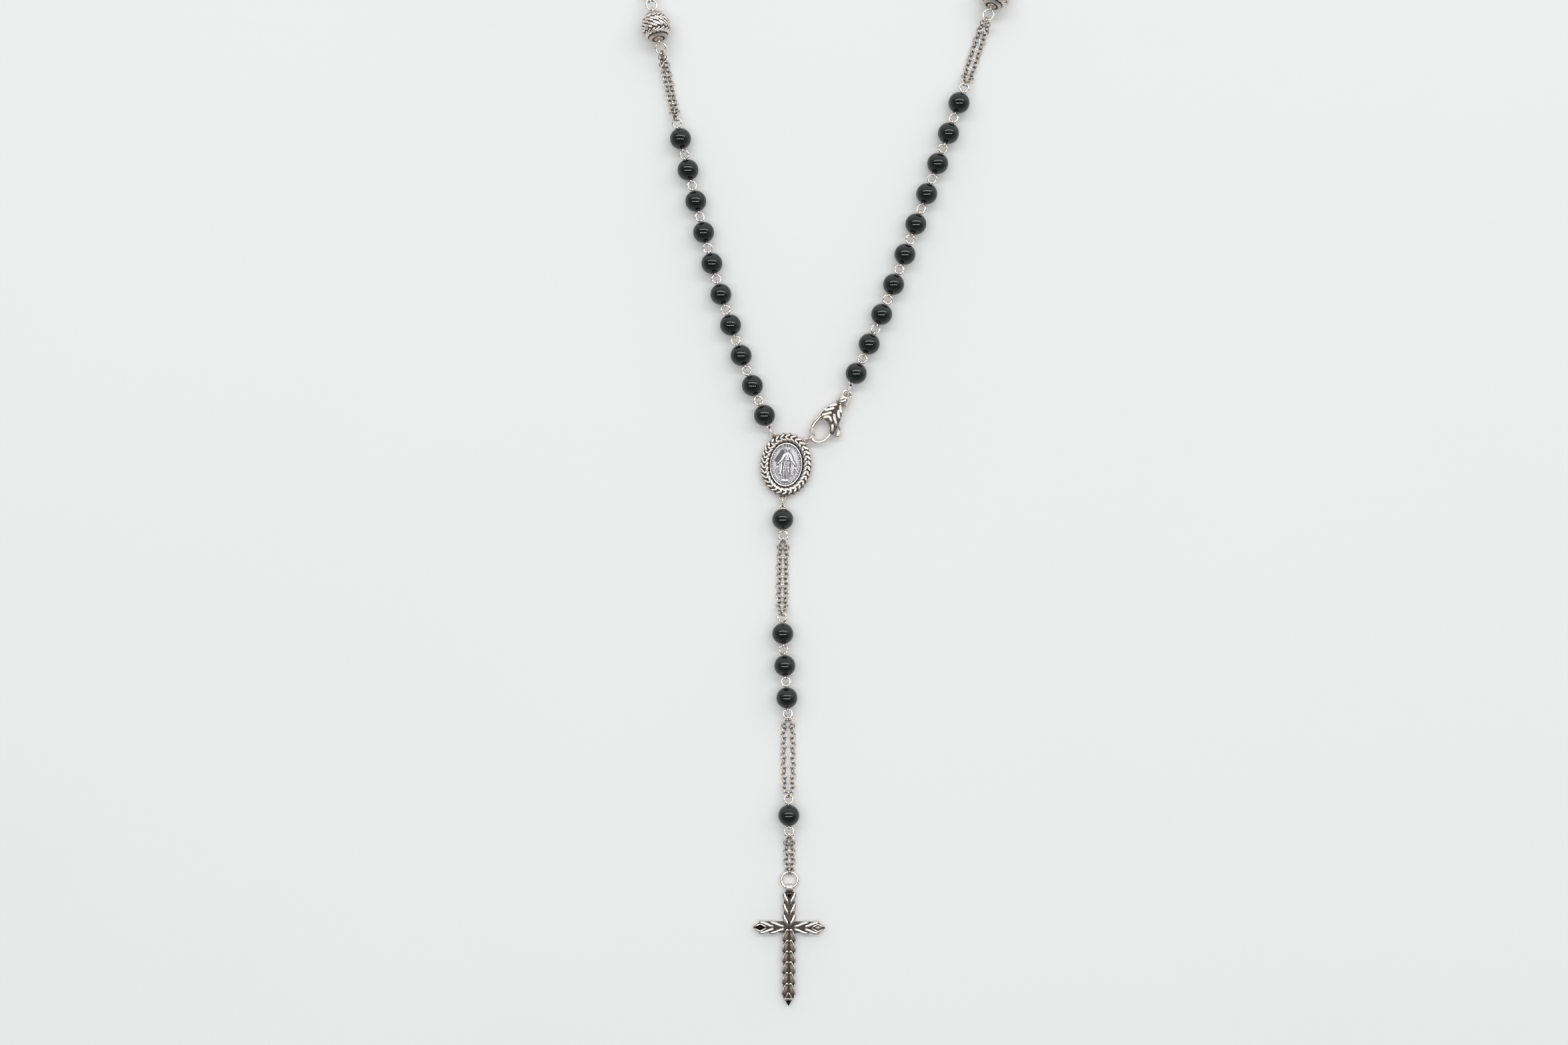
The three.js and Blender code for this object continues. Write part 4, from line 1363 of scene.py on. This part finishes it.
    def lever(self) -> None:
        """Makes the lever: gate, blade through the head, and thumb nub."""
        work = Workpiece()
        blade = [(3.1, 1.9), (3.5, 0.7), (3.3, -1.4), (2.9, -2.4), (2.0, -3.6), (0.9, -4.2),
                 (0.8, -5.3), (3.1, -4.5), (5.0, -2.6), (5.6, -0.4), (5.3, 1.6), (4.3, 2.5),
                 (3.0, 2.7)]
        work.slab(blade, self.height - 0.35, self.height + 0.35, 0.08)
        points = [(3.5, 2.2, self.height), (2.5, 2.45, self.height), (1.3, 2.62, self.height),
                  (0.4, 2.66, self.height), (-0.42, 2.6, self.height)]
        path = curve_through(points, 5)
        gate = []
        for index, centre in enumerate(path):
            share = index / (len(path) - 1)
            gate.append(Station(centre, 1.6 - 0.5 * share, 2.25 - 0.8 * share))
        work.swept(gate, UP, 20, 0.62)
        nub = curve_through([(2.7, -3.85, self.height), (1.9, -4.35, self.height),
                             (1.1, -4.75, self.height), (0.4, -5.0, self.height)], 4)
        sizes = [0.6, 0.8, 1.0, 1.18, 1.32, 1.45, 1.54, 1.6, 1.6, 1.52, 1.34, 1.02, 0.5]
        work.swept([Station(c, s, s * 1.2) for c, s in zip(nub, sizes)], UP, 16)
        self.bench.finish(work, "clasp_gate_lever", "clasp_lever", self.seat(),
                          Finish.POLISHED, lambda point: 0.0)

    def pin(self) -> None:
        """Turns the lever's pin, which is hidden under the head's top."""
        work = Workpiece()
        upright = Matrix.Rotation(-math.pi / 2, 4, "Y")
        x, y = self.lever_pivot
        work.turned([(0.42, 0), (0.42, 0.38), (0.5, 0.44), (2.65, 0.44), (2.65, 0)], 24,
                    shift(x, y, 0) @ upright)
        self.bench.finish(work, "clasp_lever_pin", "clasp", self.seat(), Finish.POLISHED,
                          lambda point: 0.1, ["clasp_pin"])

    def swivel(self) -> None:
        """Makes the barrel that turns on the neck, with its eye."""
        work = Workpiece()
        profile = [(9.0, 0.62), (8.95, 1.3), (9.08, 1.56), (9.36, 1.62), (9.44, 1.5),
                   (9.56, 1.62), (9.8, 1.74), (10.4, 1.8), (11.1, 1.78), (11.6, 1.66),
                   (11.9, 1.42), (12.05, 1.0), (12.1, 0.0), (10.7, 0.0), (10.6, 0.95),
                   (9.5, 0.95), (9.5, 0.62)]
        work.turned(profile, 40, shift(0, self.offset, self.height), closed=True)
        work.ring(1.12, 0.40, shift(12.42, self.offset, self.height), steps=36,
                  sides=14)
        self.bench.finish(work, "clasp_barrel_and_eye", "clasp_swivel", self.seat(),
                          Finish.POLISHED, lambda point: 0.75 * (
                              1 - smoothstep(0.06, 0.16, abs(point.x - 9.42)))
                          + 0.7 * (1 - smoothstep(8.95, 9.1, point.x)))

    def ring(self) -> None:
        """Makes the ring between the medal and the clasp."""
        work = Workpiece()
        stand = UPRIGHT @ Matrix.Rotation(2.2, 4, "Z")
        work.ring(1.38, 0.27, shift(1.38, 0, self.height) @ stand,
                  seam=math.radians(4))
        pivot = self.bench.pivots["clasp_ring"]
        middle = self.bench.middle("clasp_ring")
        seat = Seat(pivot, math.atan2(middle.y - pivot.y, middle.x - pivot.x))
        self.bench.finish(work, "clasp_jump_ring", "clasp_ring", seat, Finish.POLISHED,
                          lambda point: 0.05)

    def build(self) -> None:
        """Makes the whole clasp."""
        self.head()
        self.lever()
        self.swivel()
        self.ring()
        self.pin()
        self.bench.keep("clasp_spring", Finish.POLISHED)


# Cross.


@dataclass
class CrossWork:
    """The hanging cross with its raised V's, its pointed ends, its bail and its ring."""

    bench: Bench
    top: float = 0.8
    centre: float = 11.1
    bottom: float = 33.2
    arm: float = 10.2
    half: float = 1.52
    plate: float = 1.25
    ring_radius: float = 2.265
    ring_wire: float = 0.385
    height: float = 1.05

    def outline(self) -> list[tuple[float, float]]:
        """Returns the cross's outline, from the bail round."""
        w, c, tip = self.half, self.centre, 2.1
        return [
            (self.top, 0.8 - w), (self.top + 0.8, -w), (c - w, -w), (c - w, tip - self.arm),
            (c, 0.35 - self.arm), (c + w, tip - self.arm), (c + w, -w),
            (self.bottom - 2.3, -w), (self.bottom - 0.3, 0), (self.bottom - 2.3, w), (c + w, w),
            (c + w, self.arm - tip), (c, self.arm - 0.35), (c - w, self.arm - tip), (c - w, w),
            (self.top + 0.8, w), (self.top, w - 0.8),
        ]

    def leaves(self, work: Workpiece, turn: float, tip: float, line: list[Point],
               width: float, height: float) -> None:
        """Adds a pair of curved bars, mirrored in a limb's middle line.

        Args:
            work: The mesh to add to.
            turn: The limb's direction from the middle of the cross.
            tip: How far out the pair starts.
            line: One bar's line: along the limb, off its middle and above the plate.
            width: The bars' width.
            height: The bars' height.
        """
        place = shift(self.centre, 0, self.plate) @ Matrix.Rotation(turn, 4, "Z")
        for side in (-1, 1):
            path = curve_through([(tip + x, side * y, z) for x, y, z in line], 4)
            stations = rounded_bar([place @ point for point in path], width, height, 0.1)
            work.swept(stations, UP, 8, 0.75)

    def pyramid(self, work: Workpiece, turn: float, near: float, far: float, half: float,
                base: float, peak: float) -> None:
        """Adds a pointed four-sided end on a limb.

        Args:
            work: The mesh to add to.
            turn: The limb's direction.
            near: Where it starts along the limb.
            far: Where its point is.
            half: Half its width.
            base: The height of its edges.
            peak: The height of its ridge.
        """
        bm = bmesh.new()
        bmesh.ops.create_cone(bm, cap_ends=True, segments=4, radius1=1.0, radius2=0.06,
                              depth=1.0)
        size = Matrix.Diagonal(((far - near) / 2, half, peak - base, 1))
        middle = Matrix.Translation(((near + far) / 2, 0, (base + peak) / 2))
        place = shift(self.centre, 0, 0) @ Matrix.Rotation(turn, 4, "Z")
        work.absorb(bm, place @ middle @ size)

    def casting(self) -> None:
        """Makes the cross's plate, V's and silver points."""
        work = Workpiece()
        work.slab(self.outline(), 0.0, self.plate, 0.22)
        down, upward = 0.0, math.pi
        ridge = [(0.6, 0.1, 0.28), (0.06, 0.36, 0.5), (0.3, 0.8, 0.55), (1.3, 1.28, 0.5),
                 (2.3, 1.62, 0.42), (3.35, 1.8, 0.3)]
        blade = [(0.5, 0.5, 0.1), (1.5, 0.78, 0.2), (2.7, 1.08, 0.14), (3.6, 1.2, 0.0)]
        for index in range(6):
            tip = 0.5 + 3.03 * index
            self.leaves(work, down, tip, ridge, 0.44, 0.6)
            self.leaves(work, down, tip, blade, 1.2, 0.5)
        bright = [(0.0, 0.30, 0.36), (0.9, 0.62, 0.5), (2.1, 1.12, 0.5), (3.2, 1.5, 0.4)]
        shaded = [(0.3, 0.85, 0.1), (1.3, 1.2, 0.2), (2.9, 1.68, 0.1)]
        for index in range(3):
            tip = 0.55 + 3.06 * index
            self.leaves(work, upward, tip, bright, 0.6, 0.7)
            self.leaves(work, upward, tip, shaded, 0.7, 0.62)
        curved = [(0.0, 0.34, 0.3), (1.2, 0.6, 0.5), (2.7, 1.26, 0.5), (4.2, 1.6, 0.3)]
        outer = [(0.0, 0.06, 0.3), (0.9, 0.5, 0.5), (1.9, 0.95, 0.5), (2.9, 0.55, 0.4),
                 (3.9, 0.06, 0.1)]
        for turn in (math.pi / 2, -math.pi / 2):
            for index in range(2):
                self.leaves(work, turn, 1.3 + 2.95 * index, curved, 0.92, 0.8)
            self.pyramid(work, turn, 6.2, self.arm, 1.2, 1.0, 1.85)
            self.leaves(work, turn, 6.2, outer, 0.34, 0.56)
        edge = [(0.0, 0.05, 0.5), (0.9, 0.56, 0.55), (1.75, 1.04, 0.5)]
        self.leaves(work, down, 18.2, edge, 0.36, 0.6)
        foot = Bar(2.3, 0.4, 0.6).template()
        work.add(foot, shift(self.centre + 20.05, 0, self.plate + 0.5)
                 @ Matrix.Rotation(math.pi / 2, 4, "Z"))
        self.bench.finish(work, "cross_casting", "cross", self.bench.seat("cross"),
                          Finish.OXIDISED, self.wear_and_shade)

    def wear_and_shade(self, point: Vector) -> float:
        """Returns how black the cross is: bright on the ridges, brown-black between them."""
        if point.z < 0.8:
            return 0.35
        return 0.95 * (1 - smoothstep(self.plate + 0.25, self.plate + 0.74, point.z))

    def points(self) -> None:
        """Makes the blackened points at the head, the foot and the left arm."""
        work = Workpiece()
        foot, head = self.centre + 20.1, self.centre - 10.0
        work.slab([(foot, -1.15), (foot + 2.1, 0), (foot, 1.15)], 0.4, 1.75, 0.35)
        work.slab([(head, -1.05), (head + 1.7, 0), (head, 1.05)], 0.6, 1.7, 0.25)
        self.pyramid(work, -math.pi / 2, 6.9, 9.5, 0.72, 1.5, 2.15)
        self.bench.finish(work, "cross_black_points", "cross", self.bench.seat("cross"),
                          Finish.BLACK)

    def bail(self) -> None:
        """Turns the short loop at the head of the cross."""
        work = Workpiece()
        profile = [(-0.95, 0.72), (-0.95, 0.9), (-0.8, 1.0), (0.8, 1.0), (0.95, 0.9),
                   (0.95, 0.72), (0.0, 0.66)]
        place = shift(-0.13, 0, self.height) @ Matrix.Rotation(math.pi / 2, 4, "Z")
        work.turned(profile, 32, place, closed=True)
        self.bench.finish(work, "cross_bail", "cross", self.bench.seat("cross"),
                          Finish.POLISHED, lambda point: 0.0)

    def ring(self) -> None:
        """Makes the large ring that holds the cross."""
        work = Workpiece()
        place = shift(self.ring_radius, 0, self.height)
        work.ring(self.ring_radius, self.ring_wire, place @ Matrix.Rotation(2.4, 4, "Z"),
                  steps=56, sides=14, seam=math.radians(2.5))
        self.bench.finish(work, "cross_big_ring", "cross_ring", self.bench.seat("cross_ring"),
                          Finish.POLISHED, lambda point: 0.03)

    def build(self) -> None:
        """Makes the whole cross."""
        self.casting()
        self.points()
        self.bail()
        self.ring()


# Studio.


@dataclass(frozen=True)
class StripLight:
    """A long lamp hung over the table, running across it."""

    name: str
    across: float
    along: float
    height: float
    length: float
    width: float
    radiance: float

    def hang(self) -> None:
        """Adds the lamp, pointing straight down."""
        lamp = bpy.data.lights.new(self.name, "AREA")
        lamp.shape = "RECTANGLE"
        lamp.size = self.length
        lamp.size_y = self.width
        lamp.energy = self.radiance * math.pi * self.length * self.width
        placed(self.name, lamp).location = (self.across, self.along, self.height)


@dataclass
class Studio:
    """Pale table, overhead lamps, soft surroundings and the camera looking straight down."""

    table_size: float = 16.0
    camera_height: float = 0.6155
    camera_over: tuple[float, float] = (-0.00056, -0.0163)
    lens: float = 50.0
    exposure: float = 0.16
    zenith: float = 0.10
    horizon: float = 0.50
    window: float = 0.60
    tint: Colour = (0.985, 1.0, 1.0)

    def table(self) -> None:
        """Lays the table top under the rosary."""
        work = Workpiece()
        bmesh.ops.create_grid(work.bm, x_segments=1, y_segments=1, size=self.table_size / 2)
        mesh = work.template()
        mesh.name = "table_top"
        look = Table("matt_white_table", (0.775, 0.78, 0.782), (0.80, 0.802, 0.802), 0.62)
        mesh.materials.append(look.material())
        top = placed("table_top", mesh)
        top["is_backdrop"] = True

    def lamps(self) -> None:
        """Hangs one broad lamp to the north and a broken line of narrow ones overhead."""
        StripLight("strip_north", 0.2, 0.84, 1.5, 3.4, 0.34, 4.4).hang()
        for index in range(4):
            across = 0.62 * (index - 1.5)
            StripLight(f"strip_middle_{index}", across, -0.23, 1.5, 0.5, 0.13, 12.0).hang()

    def world(self) -> None:
        """Surrounds the table: bright low down and towards a window, dark overhead."""
        world = bpy.data.worlds.new("soft_surroundings")
        graph = Graph(world)
        way = graph.node("ShaderNodeTexCoord", {}, {}, "Generated")
        up = graph.node("ShaderNodeSeparateXYZ", {}, {"Vector": way}, "Z")
        north = graph.node("ShaderNodeSeparateXYZ", {}, {"Vector": way}, "Y")
        east = graph.node("ShaderNodeSeparateXYZ", {}, {"Vector": way}, "X")
        low = (1 - up).clamped() ** 1.5 * self.horizon
        window = (north * 1.5 + east * 0.4 - 0.1).clamped() * self.window
        strength = low + window + self.zenith
        light = graph.node("ShaderNodeBackground", {},
                           {"Color": (*self.tint, 1), "Strength": strength})
        graph.node("ShaderNodeOutputWorld", {}, {"Surface": light}, None)
        bpy.context.scene.world = world
        bpy.context.scene.view_settings.view_transform = "Standard"
        bpy.context.scene.view_settings.exposure = self.exposure

    def camera(self) -> None:
        """Hangs the camera over the middle of the view."""
        lens = bpy.data.cameras.new("overhead_camera")
        lens.lens = self.lens
        lens.sensor_width = SENSOR_WIDTH
        lens.clip_start = 0.01
        eye = placed("overhead_camera", lens)
        eye.location = (*self.camera_over, self.camera_height)
        bpy.context.scene.camera = eye

    def build(self) -> None:
        """Sets up the whole studio."""
        self.table()
        self.lamps()
        self.world()
        self.camera()


def loop_side(side: str, beads: BeadWork, chains: ChainWork, balls: BallWork) -> None:
    """Makes one half of the loop, from the medal or the clasp to the top.

    Args:
        side: "left" or "right".
        beads: Makes its beads.
        chains: Makes its chain runs.
        balls: Makes its balls.
    """
    for number in range(1, 11):
        beads.link(f"bead_{side}_{number:02d}", first=number == 1, chained=number == 10)
    for number in range(1, 5):
        closeness = 0.6 if (side, number) == ("left", 1) else 1.0
        chains.link(f"chain_{side}_{number}", 0.15, closeness)
    for number in (1, 2):
        balls.link(f"ball_{side}_{number}")
    beads.link(f"decade_{side}_lower", 5)
    beads.link(f"decade_{side}_upper", 5, chained=True)
    beads.link(f"decade_top_{side}", 5, chained=side == "left")


def pendant(beads: BeadWork, chains: ChainWork) -> None:
    """Makes the five beads and three chain runs that hang from the medal."""
    for number in range(1, 6):
        beads.link(f"bead_pendant_{number}", first=number == 1, chained=number in (1, 4, 5))
    for name, spread in (("upper", 0.1), ("middle", 0.45), ("lower", 0.0)):
        chains.link(f"chain_pendant_{name}", spread)


def main() -> None:
    """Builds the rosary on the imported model, and the studio around it."""
    Studio().build()
    bench = Bench()
    beads, chains, balls = BeadWork(bench), ChainWork(bench), BallWork(bench)
    medal = MedalWork(bench)
    medal.frame_piece()
    medal.insert_piece()
    ClaspWork(bench).build()
    CrossWork(bench).build()
    pendant(beads, chains)
    for side in ("left", "right"):
        loop_side(side, beads, chains, balls)
    log.info("%d pieces made", bench.count)
    sizes = {"cad": cad_box, "visual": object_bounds()}
    plain = {name: [list(corner) for corner in box] for name, box in sizes.items()}


if __name__ == "__main__":
    main()
